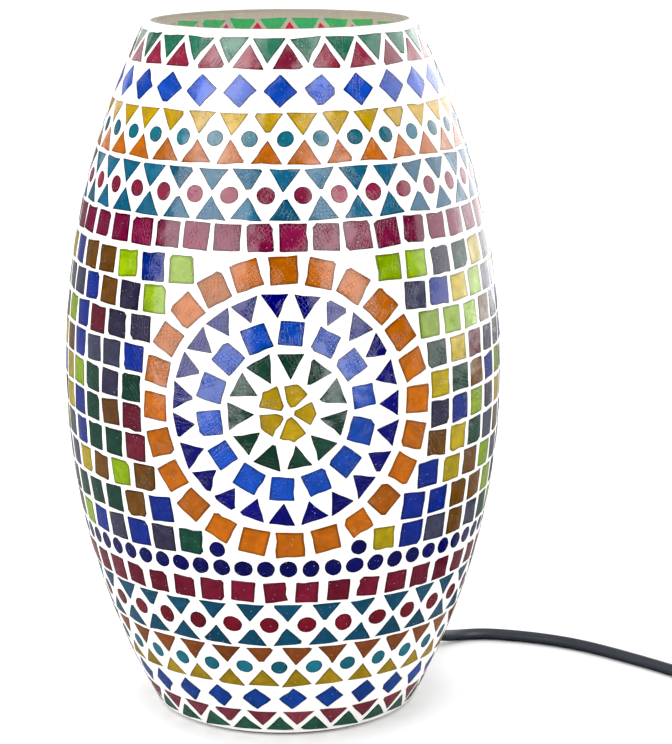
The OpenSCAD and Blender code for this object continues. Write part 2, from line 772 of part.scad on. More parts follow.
module flex_tube(route, first, last, sides = 10) {
    dirs = ring_dirs(route, first, last);
    rings = len(route);
    // a many-sided tube as wide as the flex over its flats
    flats_d = flex_d / cos(180 / sides) * 0.995;
    points = [for (i = [0:rings - 1]) each ring_points(route[i], dirs[i], flats_d, sides)];
    skin = [for (i = [0:rings - 2], k = [0:sides - 1])
        let (n = (k + 1) % sides)
            [i * sides + k, (i + 1) * sides + k, (i + 1) * sides + n, i * sides + n]];
    first_cap = [for (k = [0:sides - 1]) k];
    last_cap = [for (k = [sides - 1:-1:0]) (rings - 1) * sides + k];
    polyhedron(points = points, faces = concat(skin, [first_cap, last_cap]));
}

// the same route with a point put between each two, on the smooth curve through its neighbours
function smoothed(route) = [
    for (i = [0:len(route) - 2])
        let (before = route[max(i - 1, 0)], after = route[min(i + 2, len(route) - 1)])
        each [route[i], (9 * (route[i] + route[i + 1]) - before - after) / 16],
    route[len(route) - 1]
];

module flex_strain_relief() {
    inner_seat = relief_in - wall_t - flange_gap;
    color("dimgray")
        difference() {
            on_shell(flex_azimuth, flex_z, relief_in)
                rotate_extrude($fn = round_fn)
                    polygon([
                        [0, 0], [flange_d / 2 - 1, 0], [flange_d / 2, inner_seat - flange_t],
                        [flange_d / 2, inner_seat], [flex_hole_d / 2, inner_seat],
                        [flex_hole_d / 2, relief_in - tile_t], [flange_d / 2, relief_in - tile_t],
                        [flange_d / 2, relief_in + flange_t], [flange_d / 2 - 2, relief_in + flange_t + 1],
                        [relief_tip_d / 2, relief_in + tail_len], [0, relief_in + tail_len]]);
        }
}

relief_inner_end = flex_hole - relief_in * flex_dir;
lead_out = [sin(flex_azimuth), -cos(flex_azimuth), 0];
inner_route = concat([relief_inner_end],
    [for (p = [[0.86, 0.45], [0.72, 0.83], [0.56, 1], [0.4, 1.02], [0.26, 1]])
        lead_out * p[0] * norm([relief_inner_end[0], relief_inner_end[1]])
        + [0, 0, relief_inner_end[2] + (lead_hole_z - relief_inner_end[2]) * p[1]]],
    [lead_out * coupler_d / 2 * 0.98 + [0, 0, lead_hole_z]]);

module inner_lead() {
    color("dimgray") flex_tube(inner_route, -flex_dir, -lead_out);
}

// The flex's two insulated cores, from the coupler up to the terminals under the contact carrier
module core_wires() {
    color("tan")
        for (side = [-1, 1])
            translate([side * 1.4, 0, lead_hole_z]) cylinder(h = skirt_z - lead_hole_z, d = 1.9, $fn = 24);
}

module flex_lead() {
    color("dimgray") flex_tube(smoothed(lead_route), flex_dir, switch_dir);
}

module flex_tail() {
    color("dimgray") flex_tube(smoothed(tail_route), switch_dir, [0, 1, 0]);
}

module flex_coil() {
    color("dimgray")
        translate([coil_at[0], coil_at[1], 0])
            rotate_extrude($fn = fine)
                translate([coil_mean_d / 2 - coil_w / 2, 0]) square([coil_w, coil_h]);
}

module flex_end() {
    color("dimgray") flex_tube(smoothed(end_route), leave_dir, leave_dir);
}

// ---- Switch ----
switch_round = 4;
switch_wall = 2;
split_z = 8;           // height at which the base and the cover meet, the middle of the flex
rocker_z = switch_h - 3.5; // height of the rocker's pivot
trunnion_d = 3;
trunnion_len = 1.6;

module on_switch() {
    translate([switch_in[0], switch_in[1], 0]) rotate([0, 0, switch_heading]) children();
}

// plan of the switch: a body with narrower rounded ends
module switch_plan() {
    nose = 8;
    nose_w = 12;
    polygon([[0, -nose_w / 2], [nose, -switch_w / 2 + 1], [nose + 3, -switch_w / 2],
        [switch_len - nose - 3, -switch_w / 2], [switch_len - nose, -switch_w / 2 + 1],
        [switch_len, -nose_w / 2], [switch_len, nose_w / 2], [switch_len - nose, switch_w / 2 - 1],
        [switch_len - nose - 3, switch_w / 2], [nose + 3, switch_w / 2], [nose, switch_w / 2 - 1],
        [0, nose_w / 2]]);
}

// space inside the switch, from height low to height high
module switch_hollow(low, high) {
    translate([14, -switch_w / 2 + switch_wall, low])
        cube([switch_len - 28, switch_w - 2 * switch_wall, high - low]);
}

module switch_base() {
    color("dimgray")
        on_switch()
            difference() {
                linear_extrude(split_z) switch_plan();
                switch_hollow(switch_wall, split_z + 1);
            }
}

module switch_cover() {
    slot_len = rocker_len + 2 * rocker_gap;
    slot_w = rocker_w + 2 * rocker_gap;
    color("dimgray")
        on_switch()
            difference() {
                union() {
                    translate([0, 0, split_z]) linear_extrude(switch_h - split_z - 2) switch_plan();
                    translate([switch_len / 2 - 17, -switch_w / 2 + 2, switch_h - 2])
                        cube([34, switch_w - 4, 2]);
                }
                for (side = [-1, 1])
                    translate([switch_len / 2 + side * (slot_len / 2 + 2.5) - 1, -switch_w / 2 + switch_wall, split_z - 1])
                        cube([2, switch_w - 2 * switch_wall, switch_h - switch_wall - 1 - split_z]);
                translate([switch_len / 2 - slot_len / 2, -slot_w / 2, split_z]) cube([slot_len, slot_w, switch_h]);
                translate([switch_len / 2, 0, rocker_z]) rotate([90, 0, 0])
                    cylinder(h = rocker_w + 2 * trunnion_len + 0.4, d = trunnion_d + 0.1, center = true,
                        $fn = round_fn);
            }
}

module switch_terminals() {
    color("goldenrod")
        on_switch()
            for (side = [-1, 1])
                translate([switch_len / 2 + side * 11 - 3, -4, switch_wall]) cube([6, 8, 4]);
}

// Rocker, tipped away from the lamp: it turns about its two trunnions
module switch_rocker() {
    reach = rocker_len / 2 - 0.4;
    rise = 3.2;        // height of its top over the pivot at the middle
    lift = reach * tan(rocker_tilt);
    color("silver")
        on_switch()
            translate([switch_len / 2, 0, rocker_z])
                rotate([0, rocker_tilt, 0]) {
                    rotate([90, 0, 0])
                        linear_extrude(rocker_w, center = true)
                            polygon([[-reach, rise + lift], [-reach * 0.94, -1.5], [-3, -3.6], [3, -3.6],
                                [reach * 0.94, -1.5], [reach, rise + lift], [0, rise]]);
                    rotate([90, 0, 0])
                        cylinder(h = rocker_w + 2 * trunnion_len, d = trunnion_d, center = true, $fn = round_fn);
                }
}

// ---- Plug ----
module on_plug() {
    translate(plug_at) rotate([0, 0, plug_heading]) children();
}

module plug_body() {
    shoulder = plug_w / 2 - 5;
    start = plug_relief_len;
    color("dimgray")
        on_plug() {
            rotate([0, 90, 0]) cylinder(h = start, d1 = flex_d + 1.6, d2 = 10, $fn = round_fn);
            translate([start, 0, -plug_t / 2])
                linear_extrude(plug_t)
                    polygon([[0, -6], [10, -shoulder + 2], [plug_len - 14, -plug_w / 2 + 1],
                        [plug_len - 10, -plug_w / 2], [plug_len - 1, -plug_w / 2], [plug_len, -plug_w / 2 + 1],
                        [plug_len, plug_w / 2 - 1], [plug_len - 1, plug_w / 2], [plug_len - 10, plug_w / 2],
                        [plug_len - 14, plug_w / 2 - 1], [10, shoulder - 2], [0, 6]]);
        }
}

module plug_pins() {
    color("silver")
        on_plug()
            for (side = [-1, 1])
                translate([plug_relief_len + plug_len, side * pin_pitch / 2, 0])
                    rotate([0, 90, 0]) {
                        cylinder(h = pin_len - pin_d / 2, d = pin_d, $fn = round_fn);
                        translate([0, 0, pin_len - pin_d / 2])
                            cylinder(h = pin_d / 2, d1 = pin_d, d2 = pin_d * 0.45, $fn = round_fn);
                    }
}

glass_shell();
grout_coat();
foot_felt();
rim_green_triangles();
rim_ruby_triangles();
upper_blue_diamonds();
upper_yellow_triangles();
upper_amber_triangles();
upper_teal_triangles();
upper_ruby_rounds();
upper_ruby_squares();
field_lime_squares();
field_yellow_squares();
field_brown_squares();
field_charcoal_squares();
field_slate_squares();
field_blue_squares();
field_green_squares();
field_maroon_squares();
medallion_orange_squares();
medallion_navy_triangles();
medallion_blue_squares();
medallion_green_triangles();
medallion_yellow_wedges();
teal_rounds();
cobalt_rounds();
lower_ruby_squares();
lower_teal_triangles();
lower_ruby_rounds();
lower_amber_triangles();
lower_yellow_triangles();
lower_blue_diamonds();
base_ruby_triangles();
base_green_triangles();
threaded_tubes();
sealing_washers();
steel_washers();
lock_nut();
side_entry_coupler();
lampholder_cap();
lampholder_skirt();
contact_carrier();
screw_shell();
centre_contact();
bulb_globe();
bulb_collar();
bulb_cap();
flex_strain_relief();
inner_lead();
core_wires();
flex_lead();
flex_tail();
flex_coil();
flex_end();
switch_base();
switch_terminals();
switch_cover();
switch_rocker();
plug_body();
plug_pins();
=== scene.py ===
"""Mosaic glass table lamp: the visual model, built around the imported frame.

A clear blown barrel is covered with hand-cut glass tiles set flush in white grout. Each CAD course of flat
prisms is recut here as curved, chipped, glossy glass, and the grout gets a real pocket for every tile. The
fittings, the flex with its switch and plug, the studio and the camera are made around it.
"""

from __future__ import annotations

import logging
import math
from dataclasses import dataclass, field
from enum import Enum
from typing import Iterable, Sequence

import bmesh
import bpy
import numpy as np
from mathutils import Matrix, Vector
from mathutils.geometry import delaunay_2d_cdt

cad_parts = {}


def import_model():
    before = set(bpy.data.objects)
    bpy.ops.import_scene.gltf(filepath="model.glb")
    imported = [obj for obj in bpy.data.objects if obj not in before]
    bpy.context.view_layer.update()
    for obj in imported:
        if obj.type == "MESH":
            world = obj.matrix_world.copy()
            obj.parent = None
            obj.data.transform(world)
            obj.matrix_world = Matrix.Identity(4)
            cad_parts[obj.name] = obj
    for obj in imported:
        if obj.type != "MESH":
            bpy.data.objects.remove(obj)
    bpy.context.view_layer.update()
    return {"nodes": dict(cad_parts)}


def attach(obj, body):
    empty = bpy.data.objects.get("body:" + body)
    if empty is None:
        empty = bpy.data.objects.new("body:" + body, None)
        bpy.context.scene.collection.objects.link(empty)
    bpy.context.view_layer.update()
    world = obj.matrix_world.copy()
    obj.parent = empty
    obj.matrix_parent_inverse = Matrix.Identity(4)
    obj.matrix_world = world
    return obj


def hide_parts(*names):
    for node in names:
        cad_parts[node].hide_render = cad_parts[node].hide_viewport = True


LOG = logging.getLogger("mosaic_lamp")
MM = 0.001
LAMP = "lamp"
BULB = "bulb"
ROCKER = "rocker"

Colour = tuple[float, float, float]


def srgb(red: int, green: int, blue: int) -> Colour:
    """Turns a display colour from 0-255 values into the linear one that shaders use."""
    return tuple(((c / 255 + 0.055) / 1.055) ** 2.4 if c > 10 else c / 255 / 12.92 for c in (red, green, blue))


# ---- Shader graphs ----


class Graph:
    """A material's node tree, with short calls for the nodes that the finishes share."""

    def __init__(self, name: str) -> None:
        """Makes an empty material whose surface is one Principled shader.

        Args:
            name: the material's name.
        """
        self.material = bpy.data.materials.new(name)
        self.material.use_nodes = True
        self.tree = self.material.node_tree
        self.tree.nodes.clear()
        self.shader = self.tree.nodes.new("ShaderNodeBsdfPrincipled")
        out = self.tree.nodes.new("ShaderNodeOutputMaterial")
        self.tree.links.new(self.shader.outputs[0], out.inputs[0])
        self._coords: bpy.types.Node | None = None

    def node(self, kind: str, **settings) -> bpy.types.Node:
        """Adds a node and sets its properties.

        Args:
            kind: the node's type name.
            **settings: properties to set on it.

        Returns:
            The new node.
        """
        node = self.tree.nodes.new(kind)
        for key, value in settings.items():
            setattr(node, key, value)
        return node

    def link(self, source, target) -> None:
        """Joins an output socket, or a plain value, to an input socket."""
        if hasattr(source, "is_output"):
            self.tree.links.new(source, target)
        else:
            target.default_value = source

    @property
    def object_coords(self):
        """The Object coordinate socket, in metres."""
        if self._coords is None:
            self._coords = self.node("ShaderNodeTexCoord")
        return self._coords.outputs["Object"]

    def attribute(self, name: str) -> bpy.types.Node:
        """An Attribute node that reads a named attribute of the mesh."""
        return self.node("ShaderNodeAttribute", attribute_name=name)

    def math(self, operation: str, a, b=0.0, clamp: bool = False):
        """One arithmetic step on sockets or numbers.

        Args:
            operation: the Math node's operation.
            a: first socket or number.
            b: second socket or number.
            clamp: whether the result stays within 0 and 1.

        Returns:
            The output socket.
        """
        node = self.node("ShaderNodeMath", operation=operation, use_clamp=clamp)
        self.link(a, node.inputs[0])
        self.link(b, node.inputs[1])
        return node.outputs[0]

    def noise(self, vector, scale: float, detail: float = 3.0, roughness: float = 0.55,
              distortion: float = 0.0):
        """A noise texture's value.

        Args:
            vector: the coordinate socket.
            scale: features per unit of the coordinate.
            detail: number of finer layers.
            roughness: how strong each finer layer is.
            distortion: how far the pattern is warped.

        Returns:
            The Fac output socket.
        """
        node = self.node("ShaderNodeTexNoise")
        self.link(vector, node.inputs["Vector"])
        settings = {"Scale": scale, "Detail": detail, "Roughness": roughness, "Distortion": distortion}
        for key, value in settings.items():
            node.inputs[key].default_value = value
        return node.outputs[0]

    def ramp(self, value, low: tuple[float, float], high: tuple[float, float], shape: str = "LINEAR"):
        """A clamped ramp from value to another value.

        Args:
            value: the input socket.
            low: an input and the output there.
            high: another input and the output there.
            shape: the interpolation type.

        Returns:
            The output socket.
        """
        node = self.node("ShaderNodeMapRange", interpolation_type=shape)
        self.link(value, node.inputs["Value"])
        for key, number in zip(("From Min", "To Min", "From Max", "To Max"), (*low, *high)):
            node.inputs[key].default_value = number
        return node.outputs[0]

    def mix(self, factor, a, b, blend: str = "MIX"):
        """Mixes two colours.

        Args:
            factor: 0 gives a, 1 gives b.
            a: first colour or socket.
            b: second colour or socket.
            blend: the blend mode.

        Returns:
            The output socket.
        """
        node = self.node("ShaderNodeMix", data_type="RGBA", blend_type=blend)
        self.link(factor, node.inputs[0])
        self.link(a if hasattr(a, "is_output") else (*a, 1.0), node.inputs[6])
        self.link(b if hasattr(b, "is_output") else (*b, 1.0), node.inputs[7])
        return node.outputs[2]

    def bump(self, height, distance: float, strength: float = 1.0, onto=None):
        """Bumps the surface by a height.

        Args:
            height: the height socket, from 0 to 1.
            distance: the real height, in metres, that 1 stands for.
            strength: share of the bump that is used.
            onto: the normal of a coarser bump beneath this one.

        Returns:
            The normal output socket.
        """
        node = self.node("ShaderNodeBump")
        node.inputs["Strength"].default_value = strength
        node.inputs["Distance"].default_value = distance
        self.link(height, node.inputs["Height"])
        if onto is not None:
            self.link(onto, node.inputs["Normal"])
        return node.outputs[0]

    def grey(self, value):
        """A grey colour from one value."""
        node = self.node("ShaderNodeCombineColor")
        for socket in node.inputs[:3]:
            self.link(value, socket)
        return node.outputs[0]

    def channel(self, colour, number: int):
        """One channel of a colour."""
        node = self.node("ShaderNodeSeparateColor")
        self.link(colour, node.inputs[0])
        return node.outputs[number]

    def set(self, **sockets) -> None:
        """Sets or links the shader's inputs, named with underscores for spaces."""
        for key, value in sockets.items():
            target = self.shader.inputs[key.replace("_", " ")]
            if isinstance(value, tuple) and len(value) == 3:
                value = (*value, 1.0)
            self.link(value, target)


@dataclass(frozen=True)
class Finish:
    """A surface finish: everything a material is made from."""

    name: str
    colour: Colour

    def material(self) -> bpy.types.Material:
        """Builds the material."""
        raise NotImplementedError


@dataclass(frozen=True)
class StainedGlass(Finish):
    """Hand-cut coloured glass, glossy over a crazed colour layer, whose back faces get a painted backlight: a
    brighter colour that glows.
    """

    # The back faces' colour and the emission strength below are painted backlight: light through the glass from
    # behind, painted on.
    back: Colour = (0.0, 0.0, 0.0)
    strength: float = 0.78
    painted_glow: float = 0.55
    crazing: float = 1.0
    mottle: float = 0.22

    def material(self) -> bpy.types.Material:
        """Builds the glass: mottled colour, darker cut edges, crazing, grout specks, a wavy gloss, and a painted
        backlight that makes the back faces brighter and glowing.

        Returns:
            The material.
        """
        g = Graph(self.name)
        place = g.attribute("cut_place").outputs["Vector"]
        rim = g.attribute("cut_rim").outputs["Fac"]
        tone = g.attribute("cut_tone").outputs["Fac"]
        backing = g.attribute("cut_back").outputs["Fac"]

        cloud = g.noise(place, 0.17, 3.0, 0.6, 0.6)
        fine = g.noise(place, 1.1, 4.0, 0.65)
        base = tuple(c * self.strength for c in self.colour)
        light = tuple(min(1.0, c * 1.5 + 0.002) for c in base)
        deep = tuple(c * (1 - self.mottle) * 0.8 for c in base)
        colour = g.mix(g.ramp(cloud, (0.3, 0.0), (0.72, 1.0)), deep, light)
        colour = g.mix(0.55, base, colour)
        colour = g.mix(g.math("MULTIPLY", g.math("SUBTRACT", fine, 0.5), 0.5, True), colour, light)
        shade = g.math("ADD", 1.0, g.math("MULTIPLY", tone, 0.28))
        colour = g.mix(1.0, colour, g.grey(shade), "MULTIPLY")

        edge = g.ramp(rim, (0.02, 0.5), (0.2, 1.0), "SMOOTHSTEP")
        colour = g.mix(1.0, colour, g.grey(edge), "MULTIPLY")

        craze = g.node("ShaderNodeTexVoronoi", feature="DISTANCE_TO_EDGE", voronoi_dimensions="2D")
        g.link(place, craze.inputs["Vector"])
        craze.inputs["Scale"].default_value = 0.62
        craze.inputs["Randomness"].default_value = 0.62
        hair = g.ramp(craze.outputs["Distance"], (0.0, 1.0), (0.075, 0.0), "SMOOTHSTEP")
        patch = g.ramp(g.noise(place, 0.12, 1.0), (0.42, 0.0), (0.6, 1.0))
        lines = g.math("MULTIPLY", hair, g.math("MULTIPLY", patch, self.crazing, True))
        colour = g.mix(g.math("MULTIPLY", lines, 0.3), colour, deep)

        pits = g.node("ShaderNodeTexVoronoi", feature="F1", voronoi_dimensions="2D")
        g.link(place, pits.inputs["Vector"])
        pits.inputs["Scale"].default_value = 0.5
        chosen = g.math("GREATER_THAN", g.channel(pits.outputs["Color"], 0), 0.82)
        size = g.math("MULTIPLY", g.channel(pits.outputs["Color"], 1), 0.075)
        dot = g.math("LESS_THAN", pits.outputs["Distance"], size)
        speck = g.math("MULTIPLY", g.math("MULTIPLY", dot, chosen), g.math("SUBTRACT", 1.0, backing))
        colour = g.mix(g.math("MULTIPLY", speck, 0.75), colour, (0.82, 0.81, 0.79))

        # Painted backlight: the back faces take a brighter colour, standing in for light shining through from
        # behind.
        colour = g.mix(backing, colour, self.back)
        rough = g.math("ADD", 0.05, g.math("MULTIPLY", fine, 0.08))
        wave = g.bump(g.noise(place, 0.14, 1.0, 0.4), 0.00013)
        frost = g.noise(place, 3.2, 2.0, 0.6)
        ways = (0.62, 0.07, 1.0), (0.07, 0.62, 1.0)
        weave = g.math("MAXIMUM", *(self._wrinkles(g, place, way) for way in ways))
        weave = g.math("MULTIPLY", weave, g.ramp(g.noise(place, 0.08, 1.0), (0.5, 0.0), (0.62, 1.0)))
        outside = g.math("SUBTRACT", 1.0, backing)
        colour = g.mix(g.math("MULTIPLY", g.math("MULTIPLY", weave, 0.4), outside), colour, deep)
        relief = g.math("ADD", g.math("MULTIPLY", fine, 0.3), g.math("MULTIPLY", frost, 0.12))
        cuts = g.math("ADD", g.math("MULTIPLY", lines, 0.6), weave)
        grain = g.bump(g.math("SUBTRACT", 1.0, cuts), 0.00007, 0.9, g.bump(relief, 0.00005, 1.0, wave))
        # Painted backlight: the back faces glow with that colour, though nothing lights them.
        painted_glow_strength = g.math("MULTIPLY", backing, self.painted_glow)
        g.set(Base_Color=colour, Roughness=rough, IOR=1.48, Normal=grain, Emission_Color=self.back,
              Emission_Strength=painted_glow_strength)
        return g.material

    @staticmethod
    def _wrinkles(g: Graph, place, stretch: tuple[float, float, float]):
        """Fine wrinkles of the colour coat that run one way: 1 on a wrinkle, 0 between."""
        turned = g.node("ShaderNodeMapping")
        g.link(place, turned.inputs["Vector"])
        turned.inputs["Scale"].default_value = stretch
        value = g.math("ABSOLUTE", g.math("SUBTRACT", g.noise(turned.outputs[0], 1.0, 2.0, 0.5, 0.3), 0.5))
        return g.ramp(value, (0.0, 1.0), (0.075, 0.0))


@dataclass(frozen=True)
class Grout(Finish):
    """Smoothed white cement, with the dull face that shows through the glass from inside, which also glows as
    painted light.
    """

    # The inner faces' dull colour, which they also emit as a painted glow.
    backing: Colour = srgb(206, 198, 182)
    painted_glow: float = 0.42

    def material(self) -> bpy.types.Material:
        """Builds the grout: nearly white, sandy, with faint sponge smears, and a dull inner face that glows as
        painted light.

        Returns:
            The material.
        """
        g = Graph(self.name)
        inside = g.attribute("grout_inside").outputs["Fac"]
        smear = g.noise(g.object_coords, 45.0, 3.0, 0.55, 0.4)
        sand = g.noise(g.object_coords, 1500.0, 3.0, 0.7)
        dirty = tuple(c * f for c, f in zip(self.colour, (0.9, 0.885, 0.86)))
        colour = g.mix(g.ramp(smear, (0.45, 0.0), (0.8, 0.55)), self.colour, dirty)
        colour = g.mix(g.ramp(sand, (0.62, 0.0), (0.8, 0.35)), colour, tuple(c * 0.78 for c in self.colour))
        colour = g.mix(inside, colour, self.backing)
        wide = g.bump(smear, 0.00035, 0.6)
        # Painted light: the inner faces glow with their dull colour, as if lit through the glass.
        painted_glow_strength = g.math("MULTIPLY", inside, self.painted_glow)
        g.set(Emission_Color=self.backing, Emission_Strength=painted_glow_strength, Base_Color=colour, Roughness=0.78,
              Normal=g.bump(sand, 0.00009, 0.8, wide), Specular_IOR_Level=0.35)
        return g.material


@dataclass(frozen=True)
class ClearGlass(Finish):
    """Thin clear glass that shows what lies behind it."""

    haze: float = 0.015
    lip_z: float = 0.2988
    most_sheen: float = 0.16

    def material(self) -> bpy.types.Material:
        """Builds the glass: a mirror only as strong as glass reflects, seeds and ripples, and a pale, nearly
        opaque band at the lip.

        Returns:
            The material.
        """
        g = Graph(self.name)
        ripple = g.bump(g.noise(g.object_coords, 22.0, 2.0), 0.0006, 0.5)
        seeds = g.node("ShaderNodeTexVoronoi", feature="F1")
        g.link(g.object_coords, seeds.inputs["Vector"])
        seeds.inputs["Scale"].default_value = 120.0
        bubble = g.ramp(seeds.outputs["Distance"], (0.03, 1.0), (0.09, 0.0))
        height = g.node("ShaderNodeSeparateXYZ")
        g.link(g.object_coords, height.inputs[0])
        lip = g.math("GREATER_THAN", height.outputs[2], self.lip_z)
        fresnel = g.node("ShaderNodeFresnel")
        fresnel.inputs["IOR"].default_value = 1.5
        sheen = g.math("MINIMUM", fresnel.outputs[0], self.most_sheen)
        alpha = g.math("ADD", g.math("MAXIMUM", sheen, g.math("MULTIPLY", lip, 0.8)), self.haze, True)
        g.set(Base_Color=g.mix(lip, (0.9, 0.94, 0.91), self.colour), Metallic=g.math("SUBTRACT", 1.0, lip),
              Roughness=0.05, IOR=1.5, Alpha=alpha, Normal=g.bump(bubble, 0.00015, 0.7, ripple))
        return g.material


@dataclass(frozen=True)
class Moulded(Finish):
    """Moulded plastic or rubber with a fine grain."""

    roughness: float = 0.45
    grain: float = 0.00003
    scale: float = 1400.0

    def material(self) -> bpy.types.Material:
        """Builds the moulded surface: grain, handling marks and a slightly lighter dusty tone in places.

        Returns:
            The material.
        """
        g = Graph(self.name)
        grain = g.noise(g.object_coords, self.scale, 2.0)
        wear = g.noise(g.object_coords, 60.0, 4.0, 0.6)
        lighter = tuple(c * 1.5 + 0.006 for c in self.colour)
        colour = g.mix(g.ramp(wear, (0.4, 0.0), (0.8, 0.25)), self.colour, lighter)
        rough = g.math("ADD", self.roughness - 0.06, g.math("MULTIPLY", wear, 0.14))
        g.set(Base_Color=colour, Roughness=rough, IOR=1.5, Normal=g.bump(grain, self.grain))
        return g.material


@dataclass(frozen=True)
class Opal(Finish):
    """Opal glass, milky through its whole thickness."""

    def material(self) -> bpy.types.Material:
        """Builds the opal glass: milky, clear-coated, with light spread under the skin.

        Returns:
            The material.
        """
        g = Graph(self.name)
        cloud = g.noise(g.object_coords, 30.0, 3.0, 0.5)
        colour = g.mix(cloud, self.colour, tuple(c * 0.96 for c in self.colour))
        g.set(Base_Color=colour, Roughness=0.16, IOR=1.5, Subsurface_Weight=0.35, Coat_Weight=0.4,
              Coat_Roughness=0.05, Normal=g.bump(cloud, 0.0001, 0.3))
        g.shader.inputs["Subsurface Radius"].default_value = (0.004, 0.004, 0.0036)
        return g.material


@dataclass(frozen=True)
class Metal(Finish):
    """Turned or plated metal."""

    roughness: float = 0.3

    def material(self) -> bpy.types.Material:
        """Builds the metal: fine turning lines round the upright axis and a little tarnish.

        Returns:
            The material.
        """
        g = Graph(self.name)
        stretch = g.node("ShaderNodeMapping")
        g.link(g.object_coords, stretch.inputs["Vector"])
        stretch.inputs["Scale"].default_value = (60.0, 60.0, 2600.0)
        lines = g.noise(stretch.outputs[0], 1.0, 2.0)
        tarnish = g.noise(g.object_coords, 90.0, 4.0, 0.6)
        dull = tuple(c * 0.62 for c in self.colour)
        colour = g.mix(g.ramp(tarnish, (0.45, 0.0), (0.85, 0.7)), self.colour, dull)
        rough = g.math("ADD", self.roughness - 0.05, g.math("MULTIPLY", tarnish, 0.18))
        g.set(Base_Color=colour, Metallic=1.0, Roughness=rough, Normal=g.bump(lines, 0.00002, 0.6))
        return g.material


@dataclass(frozen=True)
class Felt(Finish):
    """Pressed felt."""

    def material(self) -> bpy.types.Material:
        """Builds the felt: matted fibres in two sizes, with a soft sheen.

        Returns:
            The material.
        """
        g = Graph(self.name)
        fibres = g.noise(g.object_coords, 2600.0, 4.0, 0.75, 1.5)
        clumps = g.noise(g.object_coords, 240.0, 3.0)
        pale = tuple(c * 1.9 + 0.01 for c in self.colour)
        colour = g.mix(g.ramp(fibres, (0.4, 0.0), (0.75, 0.8)), self.colour, pale)
        g.set(Base_Color=colour, Roughness=0.95, Sheen_Weight=0.35, Sheen_Roughness=0.6,
              Normal=g.bump(fibres, 0.0003, 0.9, g.bump(clumps, 0.0004, 0.6)))
        return g.material


class Tint(Enum):
    """Each course's glass: its CAD node, its colour outside, and its colour from inside with light behind, which
    the back faces show as a painted backlight: a brighter colour that glows.
    """

    SEA_GREEN = ("rim_green_triangles", (36, 104, 80), (58, 176, 104))
    ROSE = ("rim_ruby_triangles", (144, 40, 64), (206, 40, 58))
    SAPPHIRE = ("upper_blue_diamonds", (22, 76, 186), (70, 120, 214))
    YELLOW = ("upper_yellow_triangles", (190, 152, 12), (222, 190, 70))
    AMBER = ("upper_amber_triangles", (184, 98, 18), (226, 136, 52))
    TEAL = ("upper_teal_triangles", (24, 96, 128), (60, 150, 176))
    RUBY_ROUND = ("upper_ruby_rounds", (138, 34, 66), (206, 52, 86))
    RUBY = ("upper_ruby_squares", (122, 22, 62), (196, 40, 88))
    LIME = ("field_lime_squares", (138, 170, 6), (186, 212, 70))
    MUSTARD = ("field_yellow_squares", (186, 162, 10), (216, 196, 64))
    BROWN = ("field_brown_squares", (104, 66, 18), (170, 112, 44))
    CHARCOAL = ("field_charcoal_squares", (50, 46, 70), (100, 96, 124))
    SLATE = ("field_slate_squares", (62, 64, 88), (118, 122, 150))
    ROYAL = ("field_blue_squares", (10, 38, 132), (48, 88, 196))
    BOTTLE = ("field_green_squares", (16, 62, 48), (36, 128, 84))
    MAROON = ("field_maroon_squares", (98, 22, 42), (170, 44, 66))
    ORANGE = ("medallion_orange_squares", (186, 98, 6), (228, 140, 44))
    NAVY = ("medallion_navy_triangles", (4, 4, 108), (38, 42, 170))
    COBALT = ("medallion_blue_squares", (14, 68, 168), (72, 112, 214))
    FOREST = ("medallion_green_triangles", (14, 56, 42), (34, 122, 78))
    GOLD = ("medallion_yellow_wedges", (170, 138, 8), (218, 190, 60))
    TEAL_ROUND = ("teal_rounds", (24, 104, 124), (60, 158, 170))
    INK = ("cobalt_rounds", (4, 8, 88), (36, 44, 160))
    DEEP_RUBY_SQUARE = ("lower_ruby_squares", (108, 16, 42), (176, 36, 66))
    DEEP_TEAL = ("lower_teal_triangles", (12, 70, 98), (44, 122, 150))
    DEEP_RUBY = ("lower_ruby_rounds", (112, 14, 34), (164, 24, 46))
    DEEP_AMBER = ("lower_amber_triangles", (130, 68, 28), (200, 116, 50))
    DEEP_YELLOW = ("lower_yellow_triangles", (152, 124, 18), (208, 178, 56))
    DEEP_SAPPHIRE = ("lower_blue_diamonds", (18, 62, 146), (58, 106, 200))
    BASE_ROSE = ("base_ruby_triangles", (128, 52, 66), (190, 70, 90))
    BASE_GREEN = ("base_green_triangles", (46, 92, 76), (74, 150, 112))

    @property
    def course(self) -> str:
        """The CAD node that this glass is cut for."""
        return self.value[0]

    @property
    def finish(self) -> StainedGlass:
        """The finish of a tile cut from this glass."""
        _, front, back = self.value
        # The third colour is the painted backlight that the back faces show and glow with.
        return StainedGlass(f"glass_{self.name.lower()}", srgb(*front), back=srgb(*back))


# ---- Mesh helpers ----


def new_object(name: str, mesh: bpy.types.Mesh) -> bpy.types.Object:
    """Links a mesh to the scene as an object at the origin."""
    piece = bpy.data.objects.new(name, mesh)
    bpy.context.scene.collection.objects.link(piece)
    return piece


def mesh_from(name: str, points: Iterable[Sequence[float]], faces: Iterable[Sequence[int]]) -> bpy.types.Mesh:
    """Makes a mesh from points and faces."""
    mesh = bpy.data.meshes.new(name)
    mesh.from_pydata([tuple(p) for p in points], [], [tuple(f) for f in faces])
    mesh.update()
    return mesh


def smooth(mesh: bpy.types.Mesh, angle: float = 35.0) -> None:
    """Shades a mesh smooth, with edges sharper than an angle kept crisp."""
    mesh.shade_smooth()
    mesh.set_sharp_from_angle(angle=math.radians(angle))


def baked(piece: bpy.types.Object) -> bpy.types.Object:
    """Turns an object's modifiers into its plain mesh.

    Args:
        piece: the object, whose modifiers are applied and removed.

    Returns:
        The same object.
    """
    graph = bpy.context.evaluated_depsgraph_get()
    graph.update()
    finished = piece.evaluated_get(graph)
    done = bpy.data.meshes.new_from_object(finished, preserve_all_data_layers=True, depsgraph=graph)
    piece.modifiers.clear()
    piece.data = done
    return piece


